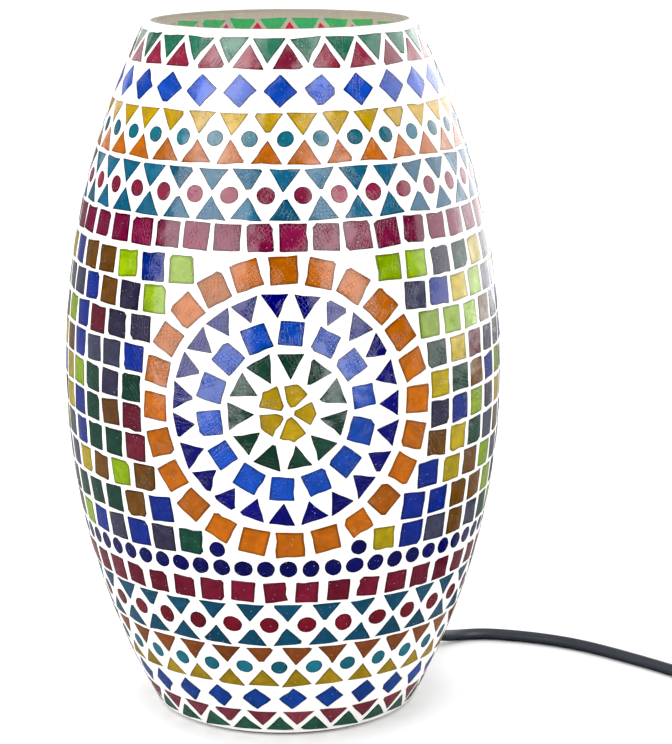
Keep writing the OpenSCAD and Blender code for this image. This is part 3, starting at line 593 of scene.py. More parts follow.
def lathe(name: str, profile: Sequence[tuple[float, float]], segments: int) -> bpy.types.Mesh:
    """Turns an open profile of (radius, height) about the upright axis.

    Args:
        name: the mesh's name.
        profile: radii and heights in metres, counter-clockwise seen with the radius to the right.
        segments: number of steps round the axis.

    Returns:
        The mesh, with poles merged.
    """
    count = len(profile)
    points = []
    for k in range(segments):
        c, s = math.cos(2 * math.pi * k / segments), math.sin(2 * math.pi * k / segments)
        points += [(r * c, r * s, z) for r, z in profile]
    faces = []
    for k in range(segments):
        n = (k + 1) % segments
        for i in range(count - 1):
            faces.append((k * count + i, n * count + i, n * count + i + 1, k * count + i + 1))
    mesh = mesh_from(name, points, faces)
    bm = bmesh.new()
    bm.from_mesh(mesh)
    bmesh.ops.remove_doubles(bm, verts=bm.verts, dist=1e-7)
    bmesh.ops.recalc_face_normals(bm, faces=bm.faces)
    bm.to_mesh(mesh)
    bm.free()
    return mesh


# ---- The turned surface and the mosaic ----


@dataclass(frozen=True)
class Barrel:
    """The turned outside of the lamp: two arcs that meet upright at the belly. All in metres."""

    height: float = 0.300
    belly_r: float = 0.0945
    belly_z: float = 0.147
    rim_r: float = 0.057
    foot_r: float = 0.0575
    tile: float = 0.0015
    bed: float = 0.0006
    foot_z: float = 0.0016
    hole_azimuth: float = math.radians(125)
    hole_z: float = 0.015

    def arc(self, z: np.ndarray) -> np.ndarray:
        """The radius of the arc that height z lies on."""
        rim_drop, foot_drop = self.belly_r - self.rim_r, self.belly_r - self.foot_r
        up = ((self.height - self.belly_z) ** 2 + rim_drop ** 2) / (2 * rim_drop)
        down = (self.belly_z ** 2 + foot_drop ** 2) / (2 * foot_drop)
        return np.where(np.asarray(z) > self.belly_z, up, down)

    def radius(self, z: np.ndarray, inset: float = 0.0) -> np.ndarray:
        """The radius at height z of the layer that lies inset under the outside."""
        arc = self.arc(z)
        return self.belly_r - arc + np.sqrt((arc - inset) ** 2 - (np.asarray(z) - self.belly_z) ** 2)

    def lean(self, z: np.ndarray) -> np.ndarray:
        """How far the surface leans back at height z, in radians."""
        return np.arcsin((np.asarray(z) - self.belly_z) / self.arc(z))

    def on_layer(self, azimuth: np.ndarray, z: np.ndarray, inset: float = 0.0) -> np.ndarray:
        """Points on a layer: those under the outside at these azimuths and heights, along the normal."""
        r, lean = self.radius(z), self.lean(z)
        rr, zz = r - inset * np.cos(lean), np.asarray(z) - inset * np.sin(lean)
        return np.stack([rr * np.sin(azimuth), -rr * np.cos(azimuth), zz], axis=-1)

    def normal(self, azimuth: np.ndarray, z: np.ndarray) -> np.ndarray:
        """The outward normal at azimuth and height."""
        lean = self.lean(z)
        return np.stack([np.cos(lean) * np.sin(azimuth), -np.cos(lean) * np.cos(azimuth), np.sin(lean)], axis=-1)

    def tangent(self, azimuth: float, z: float) -> tuple[np.ndarray, np.ndarray]:
        """The directions across and up the surface at azimuth and height."""
        across = np.array([math.cos(azimuth), math.sin(azimuth), 0.0])
        return across, np.cross(self.normal(azimuth, z), across)

    def at_hole(self) -> tuple[np.ndarray, np.ndarray]:
        """The middle of the flex's hole and the way out of it."""
        place = (self.hole_azimuth, self.hole_z)
        return self.on_layer(*place), self.normal(*place)


@dataclass
class Blank:
    """One tile's outline on the lamp, ready for cutting."""

    azimuth: float
    z: float
    outline: np.ndarray
    is_round: bool
    tone: float = 0.0
    tilt: tuple[float, float] = (0.0, 0.0)
    flat: float = 0.5
    swirl: float = 0.0


@dataclass(frozen=True)
class HandCutter:
    """How a hand with a glass cutter departs from the drawn outline. Lengths in metres."""

    nick: float = 0.00012
    corner: float = 0.0004
    big_corner: float = 0.0017
    tilt: float = 0.019
    joint: float = 0.0007
    dome: tuple[float, float] = (-1.6, 0.1)
    tone: float = 0.42
    big_share: float = 0.13
    chip: float = 0.0004
    chip_share: float = 0.07
    plain_edge: float = 0.0026
    seed: int = 41

    def loosened(self, course: str, blank: Blank, rng: np.random.Generator) -> Blank:
        """Cuts a blank a little fuller than drawn and lays it a little askew, as a maker fills the courses.

        Args:
            course: the course's name, which tells the shape.
            blank: the outline as the CAD model draws it.
            rng: the random source.

        Returns:
            The same blank, fuller and turned.
        """
        shapes = {"triangles": (0.00085, 4.0), "wedges": (0.0012, 3.0), "diamonds": (0.00015, 9.0),
                  "squares": (0.0004, 3.5), "rounds": (0.0003, 0.0)}
        grow, askew = next(v for k, v in shapes.items() if course.endswith(k))
        outline = blank.outline
        if blank.is_round:
            outline = outline * (1 + grow / np.linalg.norm(outline, axis=1).mean())
        else:
            ahead, behind = np.roll(outline, -1, axis=0) - outline, outline - np.roll(outline, 1, axis=0)
            n1 = np.stack([ahead[:, 1], -ahead[:, 0]], 1) / np.linalg.norm(ahead, axis=1)[:, None]
            n0 = np.stack([behind[:, 1], -behind[:, 0]], 1) / np.linalg.norm(behind, axis=1)[:, None]
            outline = outline + (n0 + n1) * grow / (1 + (n0 * n1).sum(axis=1))[:, None]
        turn = math.radians(rng.normal(0, askew / 2))
        c, s = math.cos(turn), math.sin(turn)
        blank.outline = outline @ np.array([[c, s], [-s, c]])
        return blank

    def cut(self, blank: Blank, rng: np.random.Generator) -> Blank:
        """Clips the corners, roughens the edges and gives the tile its own tone and tilt.

        Args:
            blank: the outline as the CAD model draws it.
            rng: the random source.

        Returns:
            The same blank, recut.
        """
        blank.outline = self._round(blank.outline, rng) if blank.is_round else self._polygon(blank.outline, rng)
        blank.tone = float(np.clip(rng.normal(0, self.tone), -1, 1))
        tilt = np.clip(rng.normal(0, self.tilt, 2), -2 * self.tilt, 2 * self.tilt)
        blank.tilt = (float(tilt[0]), float(tilt[1]))
        blank.flat = float(rng.uniform(*self.dome))
        blank.swirl = float(rng.uniform(0, 2 * math.pi))
        return blank

    def _round(self, outline: np.ndarray, rng: np.random.Generator) -> np.ndarray:
        """A hand-nibbled round: slightly oval, with small flats."""
        size = np.linalg.norm(outline, axis=1).mean()
        angle = np.arange(16) * 2 * math.pi / 16
        oval, turn = rng.uniform(0.0, 0.08), rng.uniform(0, math.pi)
        r = size * (1.0 + oval * np.cos(2 * (angle - turn)) + 0.012 * rng.standard_normal(16))
        r = r * (1 - 0.025 * (rng.random(16) > 0.82))
        return np.stack([r * np.cos(angle), r * np.sin(angle)], axis=1)

    def _polygon(self, outline: np.ndarray, rng: np.random.Generator) -> np.ndarray:
        """A nipped polygon: each corner clipped a little, some a lot, and the edges uneven."""
        points: list[np.ndarray] = []
        count = len(outline)
        middle = outline.mean(axis=0)
        for i in range(count):
            before, at, after = outline[i - 1], outline[i], outline[(i + 1) % count]
            to_before, to_after = before - at, after - at
            lb, la = np.linalg.norm(to_before), np.linalg.norm(to_after)
            big = rng.random() < self.big_share
            base = self.big_corner if big else self.corner
            cb, ca = (base * rng.uniform(0.5, 1.3) for _ in range(2))
            cb, ca = min(cb, lb * 0.3), min(ca, la * 0.3)
            points.append(at + to_before / lb * cb)
            points.append(at + to_after / la * ca)
            if min(lb, la) > self.plain_edge:
                for share in (0.34, 0.67):
                    p = at + to_after * share
                    inward = (middle - p) / max(np.linalg.norm(middle - p), 1e-9)
                    depth = rng.normal(0, self.nick) + (rng.random() < self.chip_share) * self.chip
                    points.append(p + inward * depth)
        return np.array(points)


class GeometryTree:
    """A Geometry Nodes tree with named inputs, and short calls to fill it and to run it."""

    def __init__(self, name: str, **inputs: str) -> None:
        """Makes a tree with a geometry input and output.

        Args:
            name: the tree's name.
            **inputs: the kind of socket of each named input, with underscores for spaces.
        """
        self.tree = bpy.data.node_groups.new(name, "GeometryNodeTree")
        self.tree.is_modifier = True
        face = self.tree.interface
        face.new_socket("Geometry", in_out="INPUT", socket_type="NodeSocketGeometry")
        for key, kind in inputs.items():
            face.new_socket(key.replace("_", " "), in_out="INPUT", socket_type="NodeSocket" + kind)
        face.new_socket("Geometry", in_out="OUTPUT", socket_type="NodeSocketGeometry")
        self.inputs = {item.name: item.identifier for item in face.items_tree if item.in_out == "INPUT"}
        self.source = self.tree.nodes.new("NodeGroupInput").outputs

    def node(self, kind: str, inputs: dict, **settings) -> bpy.types.NodeOutputs:
        """Adds a node.

        Args:
            kind: the node's type name.
            inputs: a socket to link or a value to set, for each input by its name or number, or a list of them.
            **settings: properties to set on it.

        Returns:
            The node's outputs.
        """
        node = self.tree.nodes.new(kind)
        for key, value in settings.items():
            setattr(node, key, value)
        for key, values in inputs.items():
            for value in values if isinstance(values, list) else [values]:
                if hasattr(value, "is_output"):
                    self.tree.links.new(value, node.inputs[key])
                else:
                    node.inputs[key].default_value = value
        return node.outputs

    def close(self, geometry: bpy.types.NodeSocket, material: str) -> None:
        """Ends the tree: real geometry, in the material of this named input."""
        real = self.node("GeometryNodeRealizeInstances", {0: geometry})[0]
        paint = self.node("GeometryNodeSetMaterial", {"Geometry": real, "Material": self.source[material]})[0]
        self.node("NodeGroupOutput", {0: paint})

    def run(self, piece: bpy.types.Object, **values) -> bpy.types.Object:
        """Runs the tree on an object and leaves the result as its plain mesh.

        Args:
            piece: the object.
            **values: the named inputs' values, with underscores for spaces.

        Returns:
            The same object.
        """
        modifier = piece.modifiers.new(self.tree.name, "NODES")
        modifier.node_group = self.tree
        for key, value in values.items():
            modifier[self.inputs[key.replace("_", " ")]] = value
        return baked(piece)


class TileSlicer(GeometryTree):
    """The Geometry Nodes tree that turns flat-backed blanks into solid bevelled tiles."""

    bevel = 0.00022
    bevel_width = 0.962
    weld = 2e-6

    def __init__(self) -> None:
        """Builds the tree: the body, its tilted and domed face, the bevel and the back."""
        super().__init__("slice_glass_tiles", Thickness="Float", Bevel="Float", Bevel_Width="Float",
                         Glass="Material")
        source = self.source
        rise, lift = (
            self.node("GeometryNodeInputNamedAttribute", {"Name": name}, data_type=kind)["Attribute"]
            for name, kind in (("cut_out", "FLOAT_VECTOR"), ("cut_lift", "FLOAT"))
        )
        depths = {0: source["Thickness"], 1: source["Bevel"]}
        body = self.node("ShaderNodeMath", depths, operation="SUBTRACT")[0]
        first = self._extrude(source["Geometry"], rise, body)
        tipped = self.node("ShaderNodeVectorMath", {0: rise, "Scale": lift}, operation="SCALE")[0]
        moved = {"Geometry": first["Mesh"], "Selection": first["Top"], "Offset": tipped}
        shift = self.node("GeometryNodeSetPosition", moved)[0]
        second = self._extrude(shift, rise, source["Bevel"], first["Top"])
        drawn = {"Geometry": second["Mesh"], "Selection": second["Top"], "Scale": source["Bevel Width"]}
        narrow = self.node("GeometryNodeScaleElements", drawn)[0]
        turned = self.node("GeometryNodeFlipFaces", {0: source["Geometry"]})[0]
        # The back faces are marked; the glass material paints them brighter and makes them glow as painted
        # backlight.
        named = {"Name": "cut_back", "Value": 1.0, "Geometry": turned}
        back = self.node("GeometryNodeStoreNamedAttribute", named, data_type="FLOAT", domain="FACE")[0]
        whole = self.node("GeometryNodeJoinGeometry", {0: [narrow, back]})[0]
        welded = self.node("GeometryNodeMergeByDistance", {"Distance": self.weld, "Geometry": whole})[0]
        self.close(welded, "Glass")

    def _extrude(self, mesh, along, far, selection=None) -> bpy.types.NodeOutputs:
        """Draws faces out, all together."""
        inputs = {"Mesh": mesh, "Offset": along, "Offset Scale": far, "Individual": False}
        if selection is not None:
            inputs["Selection"] = selection
        return self.node("GeometryNodeExtrudeMesh", inputs)

    def slice(self, piece: bpy.types.Object, thickness: float, glass: bpy.types.Material) -> bpy.types.Object:
        """Cuts the blanks of one course.

        Args:
            piece: the object whose mesh holds the blanks.
            thickness: the tiles' whole thickness, in metres.
            glass: the tiles' material.

        Returns:
            The object, with the tiles as its plain mesh.
        """
        return self.run(piece, Thickness=thickness, Bevel=self.bevel, Bevel_Width=self.bevel_width,
                        Glass=glass)


@dataclass
class Mosaic:
    """The tiles and the grout about them."""

    barrel: Barrel
    nodes: dict[str, bpy.types.Object]
    cutter: HandCutter = field(default_factory=HandCutter)
    proud: float = 0.00008
    relief_r: float = 0.0061
    plan_steps: int = 601
    ring: int = 192
    recess: float = 0.00002
    blanks: dict[str, list[Blank]] = field(default_factory=dict)

    def build(self) -> list[bpy.types.Object]:
        """Recuts every course and pours the grout.

        Returns:
            The new pieces, each riding on the lamp.
        """
        rng = np.random.default_rng(self.cutter.seed)
        slicer = TileSlicer()
        pieces = []
        for course in (tint.course for tint in Tint):
            self.blanks[course] = [self.cutter.loosened(course, b, rng) for b in self._read(course)]
        self._settle()
        for tint in Tint:
            course = tint.course
            self.blanks[course] = [self.cutter.cut(b, rng) for b in self.blanks[course]]
            piece = self._course(course, slicer, tint)
            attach(piece, LAMP)
            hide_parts(course)
            pieces.append(piece)
            LOG.info("%s: %d tiles, %d faces", course, len(self.blanks[course]), len(piece.data.polygons))
        pieces.append(self._grout())
        return pieces

    def _read(self, course: str) -> list[Blank]:
        """Finds each prism of a CAD course and lays its outline in the tangent plane.

        Args:
            course: the CAD node's name.

        Returns:
            One blank a tile.
        """
        bm = bmesh.new()
        bm.from_mesh(self.nodes[course].data)
        bmesh.ops.remove_doubles(bm, verts=bm.verts, dist=1e-6)
        seen: set[int] = set()
        blanks = []
        for start in bm.verts:
            if start.index in seen:
                continue
            island, edge = [], [start]
            seen.add(start.index)
            while edge:
                vert = edge.pop()
                island.append(tuple(vert.co))
                for link in vert.link_edges:
                    other = link.other_vert(vert)
                    if other.index not in seen:
                        seen.add(other.index)
                        edge.append(other)
            blanks.append(self._blank(np.array(island)))
        bm.free()
        return blanks

    def _blank(self, points: np.ndarray) -> Blank:
        """Lays one prism's outer outline in the tangent plane at its middle."""
        middle = points.mean(axis=0)
        azimuth = math.atan2(middle[0], -middle[1])
        z = float(middle[2])
        normal = self.barrel.normal(azimuth, z)
        outer = points[(points - middle) @ normal > 0]
        across, up = self.barrel.tangent(azimuth, z)
        centre = outer.mean(axis=0)
        azimuth = math.atan2(centre[0], -centre[1])
        flat = np.stack([(outer - centre) @ across, (outer - centre) @ up], axis=1)
        flat = flat[np.argsort(np.arctan2(flat[:, 1], flat[:, 0]))]
        keep = [flat[0]]
        for p in flat[1:]:
            if np.linalg.norm(p - keep[-1]) > 5e-5:
                keep.append(p)
        return Blank(azimuth, float(centre[2]), np.array(keep), len(keep) > 9)

    def _settle(self) -> None:
        """Trims neighbouring blanks until every joint is wide enough for grout."""
        every = [b for course in self.blanks.values() for b in course]
        middle = np.array([self.barrel.on_layer(b.azimuth, b.z) for b in every])
        reach = np.array([np.linalg.norm(b.outline, axis=1).max() for b in every])
        pairs = []
        for i in range(len(every)):
            near = np.linalg.norm(middle[i + 1:] - middle[i], axis=1) < reach[i + 1:] + reach[i] + 0.002
            pairs += [(i, i + 1 + int(j)) for j in np.where(near)[0]]
        for _ in range(10):
            tight = {k for i, j in pairs for k in (i, j) if self._gap(every[i], every[j]) < self.cutter.joint}
            if not tight:
                break
            for k in tight:
                every[k].outline = every[k].outline * 0.975
        LOG.info("joints settled, %d tight tiles left", len(tight))

    def _gap(self, one: Blank, other: Blank) -> float:
        """The joint between two convex blanks, measured in the first one's plane."""
        across, up = self.barrel.tangent(one.azimuth, one.z)
        azimuth, z = self._lay(other, other.outline)
        p = self.barrel.on_layer(azimuth, z) - self.barrel.on_layer(one.azimuth, one.z)
        a, b = one.outline, np.stack([p @ across, p @ up], axis=1)
        best = -1.0
        for first, second in ((a, b), (b, a)):
            d = np.roll(first, -1, axis=0) - first
            n = np.stack([d[:, 1], -d[:, 0]], 1) / np.maximum(np.linalg.norm(d, axis=1), 1e-9)[:, None]
            best = max(best, float(((second @ n.T).min(axis=0) - (first * n).sum(axis=1)).max()))
        return best

    def _lay(self, blank: Blank, flat: np.ndarray) -> tuple[np.ndarray, np.ndarray]:
        """Azimuths and heights of points given in a blank's tangent plane."""
        across, up = self.barrel.tangent(blank.azimuth, blank.z)
        at = self.barrel.on_layer(blank.azimuth, blank.z)
        p = at + flat[:, :1] * across + flat[:, 1:] * up
        return np.arctan2(p[:, 0], -p[:, 1]), p[:, 2]

    def _course(self, course: str, slicer: TileSlicer, tint: Tint) -> bpy.types.Object:
        """Builds the blanks of one course on the bed and slices them.

        Args:
            course: the CAD node's name.
            slicer: the Geometry Nodes tree.
            tint: the colour of glass.

        Returns:
            The finished tiles as one object.
        """
        depth = self.barrel.tile + self.barrel.bed - self.recess
        points, faces, out, lift, place, rim, tone = [], [], [], [], [], [], []
        radius = float(self.barrel.belly_r)
        for number, blank in enumerate(self.blanks[course]):
            flat = np.vstack([blank.outline.mean(axis=0), blank.outline])
            azimuth, z = self._lay(blank, flat)
            first = len(points)
            points += list(self.barrel.on_layer(azimuth, z, depth))
            normal = self.barrel.normal(np.full(len(flat), blank.azimuth), np.full(len(flat), blank.z))
            out += list(normal)
            arc = float(self.barrel.arc(blank.z))
            sag = flat[:, 0] ** 2 / (2 * radius) + flat[:, 1] ** 2 / (2 * arc)
            tipped = flat[:, 0] * blank.tilt[0] + flat[:, 1] * blank.tilt[1]
            lift += list(tipped + blank.flat * (sag - sag.mean()))
            c, s = math.cos(blank.swirl), math.sin(blank.swirl)
            u, v = flat[:, 0] / MM, flat[:, 1] / MM
            offset = 37.0 * number + 5.0
            place += [(c * a - s * b + offset, s * a + c * b + offset * 0.37, 0.0) for a, b in zip(u, v)]
            rim += [1.0] + [0.0] * (len(flat) - 1)
            tone += [blank.tone] * len(flat)
            count = len(flat) - 1
            faces += [(first, first + 1 + i, first + 1 + (i + 1) % count) for i in range(count)]
        mesh = mesh_from(course + "_glass", points, faces)
        for name, kind, values in (("cut_out", "FLOAT_VECTOR", out), ("cut_lift", "FLOAT", lift),
                                   ("cut_place", "FLOAT_VECTOR", place), ("cut_rim", "FLOAT", rim),
                                   ("cut_tone", "FLOAT", tone)):
            data = mesh.attributes.new(name, kind, "POINT").data
            key = "vector" if kind == "FLOAT_VECTOR" else "value"
            data.foreach_set(key, np.array(values, dtype=np.float32).ravel())
        piece = new_object("tiles_" + course, mesh)
        slicer.slice(piece, depth + self.proud, tint.finish.material())
        smooth(piece.data, 28)
        return piece

    def _plane(self, azimuth: np.ndarray, z: np.ndarray) -> np.ndarray:
        """Maps places on the lamp to a ring-shaped plan without a seam, keeping angles."""
        heights = np.linspace(0.0, self.barrel.height, self.plan_steps)
        slope = 1.0 / (self.barrel.radius(heights) * np.cos(self.barrel.lean(heights)))
        stretch = np.concatenate([[0.0], np.cumsum((slope[1:] + slope[:-1]) / 2 * np.diff(heights))])
        rho = np.exp(np.interp(z, heights, stretch))
        return np.stack([rho * np.sin(azimuth), -rho * np.cos(azimuth)], axis=-1)

    def _grout(self) -> bpy.types.Object:
        """Pours the grout: one skin from the glass to the tiles' faces, with a pocket for each tile.

        Returns:
            The grout as one object.
        """
        b = self.barrel
        ring = self.ring
        bottom, top = b.foot_z, b.height
        azimuths, heights, faces = [], [], []
        for z in (bottom, top):
            azimuths += list(np.arange(ring) * 2 * math.pi / ring - math.pi)
            heights += [z] * ring
        edges = [(first + k, first + (k + 1) % ring) for first in (0, ring) for k in range(ring)]
        loops: list[tuple[float, float, np.ndarray]] = []
        for course in self.blanks.values():
            for blank in course:
                azimuth, z = self._lay(blank, blank.outline * 0.994)
                loops.append((blank.azimuth, blank.z, np.stack([azimuth, z], axis=1)))
        angle = np.arange(20) * 2 * math.pi / 20
        circle = np.stack([np.cos(angle), np.sin(angle)], 1) * self.relief_r
        hole = Blank(b.hole_azimuth, b.hole_z, circle, True)
        azimuth, z = self._lay(hole, hole.outline)
        loops.append((hole.azimuth, hole.z, np.stack([azimuth, z], axis=1)))
        for _, _, loop in loops:
            faces.append(list(range(len(azimuths), len(azimuths) + len(loop)))[::-1])
            azimuths += list(loop[:, 0])
            heights += list(loop[:, 1])
        grid_a, grid_z = self._fill_points(loops)
        azimuths += list(grid_a)
        heights += list(grid_z)
        azimuth, z = np.array(azimuths), np.array(heights)
        plan = self._plane(azimuth, z)
        result = delaunay_2d_cdt([Vector(p) for p in plan], edges, faces, 0, 1e-7, True)
        kept = [f for f, source in zip(result[2], result[5]) if not source]
        origin = np.array([v[0] if v else -1 for v in result[3]])
        coords = np.array([tuple(v) for v in result[0]])
        crossing = origin < 0
        LOG.info("%d crossing points in the grout's plan", int(crossing.sum()))
        table = np.linspace(0.0, b.height, self.plan_steps)
        rho = np.linalg.norm(self._plane(np.zeros(self.plan_steps), table), axis=1)
        azimuth = np.where(crossing, np.arctan2(coords[:, 0], -coords[:, 1]), azimuth[origin])
        z = np.where(crossing, np.interp(np.linalg.norm(coords, axis=1), rho, table), z[origin])
        on_bottom, on_top = ~crossing & (origin < ring), (origin >= ring) & (origin < 2 * ring)
        kept = [f for f in kept if not on_bottom[list(f)].all()]
        count = len(azimuth)
        face_side = b.on_layer(azimuth, z, self.recess)
        back_side = b.on_layer(azimuth, z, b.tile + b.bed)
        back_side[on_top, 2] = top
        back_side[on_bottom, 2] = bottom
        triangles = np.array(kept)
        area = self._signed(coords, triangles)
        triangles[area < 0] = triangles[area < 0][:, ::-1]
        all_edges: dict[tuple[int, int], int] = {}
        for t in triangles:
            for i in range(3):
                a, c = int(t[i]), int(t[(i + 1) % 3])
                all_edges[(a, c)] = all_edges.get((a, c), 0) + 1
        walls = [(a, c) for (a, c) in all_edges if (c, a) not in all_edges]
        # The plan shows the lamp from inside, so its counter-clockwise triangles are turned over outside.
        front = triangles[:, ::-1]
        back = triangles + count
        sides = [(a, c, c + count, a + count) for a, c in walls]
        mesh = mesh_from("grout", np.vstack([face_side, back_side]),
                         [tuple(map(int, f)) for f in (*front, *back)] + sides)
        bm = bmesh.new()
        bm.from_mesh(mesh)
        bmesh.ops.recalc_face_normals(bm, faces=bm.faces)
        loose = [v for v in bm.verts if not v.link_faces]
        bmesh.ops.delete(bm, geom=loose, context="VERTS")
        bm.to_mesh(mesh)
        bm.free()
        # Marks the grout's inner faces, which the grout material gives a dull colour and a painted glow.
        side = mesh.attributes.new("grout_inside", "FLOAT", "FACE").data
        normals = np.array([p.normal[:] for p in mesh.polygons])
        centres = np.array([p.center[:] for p in mesh.polygons])
        out = np.linalg.norm(centres[:, :2], axis=1)
        inward = (normals * centres * (1, 1, 0)).sum(axis=1) < -0.3 * out
        depth = b.radius(centres[:, 2]) - out
        side.foreach_set("value", (inward & (depth > b.tile + b.bed - 0.0003)).astype(np.float32))
        smooth(mesh, 40)
        mesh.materials.append(Grout("white_grout", srgb(243, 242, 239)).material())
        piece = new_object("grout", mesh)
        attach(piece, LAMP)
        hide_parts("grout_coat")
        LOG.info("grout: %d pockets, %d faces", len(loops), len(mesh.polygons))
        return piece

    @staticmethod
    def _signed(coords: np.ndarray, triangles: np.ndarray) -> np.ndarray:
        """Signed areas of triangles in the plan."""
        a, b, c = (coords[triangles[:, k]] for k in range(3))
        return (b[:, 0] - a[:, 0]) * (c[:, 1] - a[:, 1]) - (c[:, 0] - a[:, 0]) * (b[:, 1] - a[:, 1])

    def _fill_points(self, loops: list[tuple[float, float, np.ndarray]]) -> tuple[np.ndarray, np.ndarray]:
        """Points in the joints, so that wide ones follow the barrel's curve.

        Args:
            loops: each pocket's middle and its outline.

        Returns:
            The points' azimuths and heights.
        """
        b = self.barrel
        azimuth, z = [], []
        for row, height in enumerate(np.arange(b.foot_z + 0.003, b.height - 0.0015, 0.0036)):
            count = int(2 * math.pi * float(b.radius(height)) / 0.0042)
            azimuth += list((np.arange(count) + 0.5 * (row % 2)) * 2 * math.pi / count - math.pi)
            z += [height] * count
        a, h = np.array(azimuth), np.array(z)
        radius = b.radius(h)
        near = np.zeros(len(a), bool)
        for middle_a, middle_z, loop in loops:
            around = (a - middle_a + math.pi) % (2 * math.pi) - math.pi
            close = np.where((np.abs(around * radius) < 0.0095) & (np.abs(h - middle_z) < 0.0095))[0]
            if not len(close):
                continue
            r = float(b.radius(middle_z))
            la = ((loop[:, 0] - middle_a + math.pi) % (2 * math.pi) - math.pi) * r
            outline = np.stack([la, loop[:, 1] - middle_z], axis=1)
            p = np.stack([around[close] * r, h[close] - middle_z], axis=1)
            ends = np.roll(outline, -1, axis=0)
            d = ends - outline
            off = p[:, None] - outline[None]
            cross = d[None, :, 0] * off[..., 1] - d[None, :, 1] * off[..., 0]
            distance = cross / np.linalg.norm(d, axis=1)[None]
            near[close] |= (distance > -0.0007).all(axis=1)
        return a[~near], h[~near]


# ---- Flex ----


def smoothed(route: list[np.ndarray]) -> list[np.ndarray]:
    """The route with a point put between each two, on the smooth curve through its neighbours."""
    result = []
    for i in range(len(route) - 1):
        before, after = route[max(i - 1, 0)], route[min(i + 2, len(route) - 1)]
        result += [route[i], (9 * (route[i] + route[i + 1]) - before - after) / 16]
    return result + [route[-1]]


@dataclass
class Flex:
    """The round black flex from the lamp to its plug, with the coil. All in metres."""

    diameter: float = 0.0052
    start: tuple[float, float, float] = (0.0, 0.0, 0.0)
    switch_in: tuple[float, float, float] = (0.1925, -0.017, 0.008)
    switch_length: float = 0.058
    switch_heading: float = math.radians(-55.8)
    coil_at: tuple[float, float] = (0.244, 0.006)
    coil_mean_r: float = 0.0299
    leave_run: float = 0.070
    relief_length: float = 0.020

    def __post_init__(self) -> None:
        """Works out where the flex leaves the strain relief's tip."""
        at, out = Barrel().at_hole()
        self.start = tuple(float(c) for c in at + self.relief_length * out)

    def lead(self) -> list[np.ndarray]:
        """The stretch from the lamp to the switch."""
        chosen = [(73, 51, 4.7), (78.5, 54, 3.4), (85, 56.7, 2.7), (92, 57.8, 2.6), (100, 57, 2.6),
                  (110, 54.2, 2.6), (120, 50.4, 2.6), (130, 45.4, 2.6), (139.5, 39.3, 2.6), (149, 31.4, 2.6),
                  (159, 22, 2.6),
                  (168.5, 12.6, 2.6), (176.5, 4, 2.7), (182.5, -3, 3.8), (187.5, -9.8, 6), (190.2, -13.7, 7.4),
                  (192.5, -17, 8)]
        return smoothed([np.array(self.start)] + [np.array(p) * MM for p in chosen])

    def tail(self) -> list[np.ndarray]:
        """The stretch from the switch to the coil."""
        turn = np.array([math.cos(self.switch_heading), math.sin(self.switch_heading), 0.0])
        out = np.array(self.switch_in) + self.switch_length * turn
        chosen = [(227.5, -68.5, 7.8), (230.2, -72.3, 7), (234.3, -76.9, 5.4), (239.2, -80.5, 3.9),
                  (245, -83, 2.9), (252, -84, 2.6), (259, -83.2, 2.6), (265.5, -80.5, 2.6), (271.2, -76, 2.6),
                  (275.2, -70, 2.6), (277.6, -62.5, 2.6), (278.4, -53, 2.6), (278.7, -40, 2.6),
                  (278.9, -26, 2.6), (279, -12, 2.6), (279.1, 6, 2.6)]
        return smoothed([out] + [np.array(p) * MM for p in chosen])

    def coil(self) -> list[np.ndarray]:
        """The coil's turns: in along the table, out on the second layer, and round the top."""
        d, r = self.diameter, self.coil_mean_r
        inner, middle, outer = r - d, r, r + d
        low, mid, high = d / 2, d * 1.5, d * 2.5
        stops = [(0, outer, low), (310, outer, low), (360, middle, low), (670, middle, low), (720, inner, low),
                 (970, inner, low), (1020, inner, mid), (1270, inner, mid), (1320, middle, mid),
                 (1630, middle, mid),
                 (1680, outer, mid), (1930, outer, mid), (1980, outer, high), (2230, outer, high),
                 (2280, middle, high), (2500, middle, high), (2520, middle, high + 0.0012)]
        angles = np.arange(15.0, 2520.0, 15.0)
        points = []
        for angle in angles:
            i = max(k for k, stop in enumerate(stops) if stop[0] <= angle)
            (a0, r0, z0), (a1, r1, z1) = stops[i], stops[i + 1]
            t = (angle - a0) / (a1 - a0)
            t = t * t * (3 - 2 * t)
            rr, zz, a = r0 + (r1 - r0) * t, z0 + (z1 - z0) * t, math.radians(angle)
            points.append(np.array([*self.coil_at, zz]) + rr * np.array([math.cos(a), math.sin(a), 0.0]))
        return points

    def end(self) -> list[np.ndarray]:
        """The hump over the coil's edge and the run to the plug."""
        heights = [14.2, 17.4, 18.6, 17.6, 14.8, 11.4, 8.4, 6.85]
        at = np.array([self.coil_at[0] + self.coil_mean_r, self.coil_at[1], 0.0])
        step = np.array([0.0, self.leave_run / (len(heights) - 1), 0.0])
        return smoothed([at + i * step + np.array([0, 0, h * MM]) for i, h in enumerate(heights)])

    def build(self, with_pieces: Sequence[bpy.types.Object]) -> bpy.types.Object:
        """Args:
            with_pieces: the switch's and the plug's pieces; not used.

        Returns:
            The flex.
        """
        route = self.lead() + self.tail() + self.coil() + self.end()
        curve = bpy.data.curves.new("flex", "CURVE")
        curve.dimensions = "3D"
        curve.resolution_u = 3
        curve.bevel_depth = self.diameter / 2
        curve.bevel_resolution = 3
        curve.use_fill_caps = True
        spline = curve.splines.new("NURBS")
        spline.points.add(len(route) - 1)
        for point, at in zip(spline.points, route):
            point.co = (*at, 1.0)
        spline.order_u = 3
        spline.use_endpoint_u = True
        curve.materials.append(Moulded("flex_sheath", srgb(44, 48, 58), 0.42, 0.00002, 900.0).material())
        piece = bpy.data.objects.new("flex", curve)
        bpy.context.scene.collection.objects.link(piece)
        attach(piece, LAMP)
        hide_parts("flex_lead", "flex_tail", "flex_coil", "flex_end")
        return piece


# ---- Studio ----


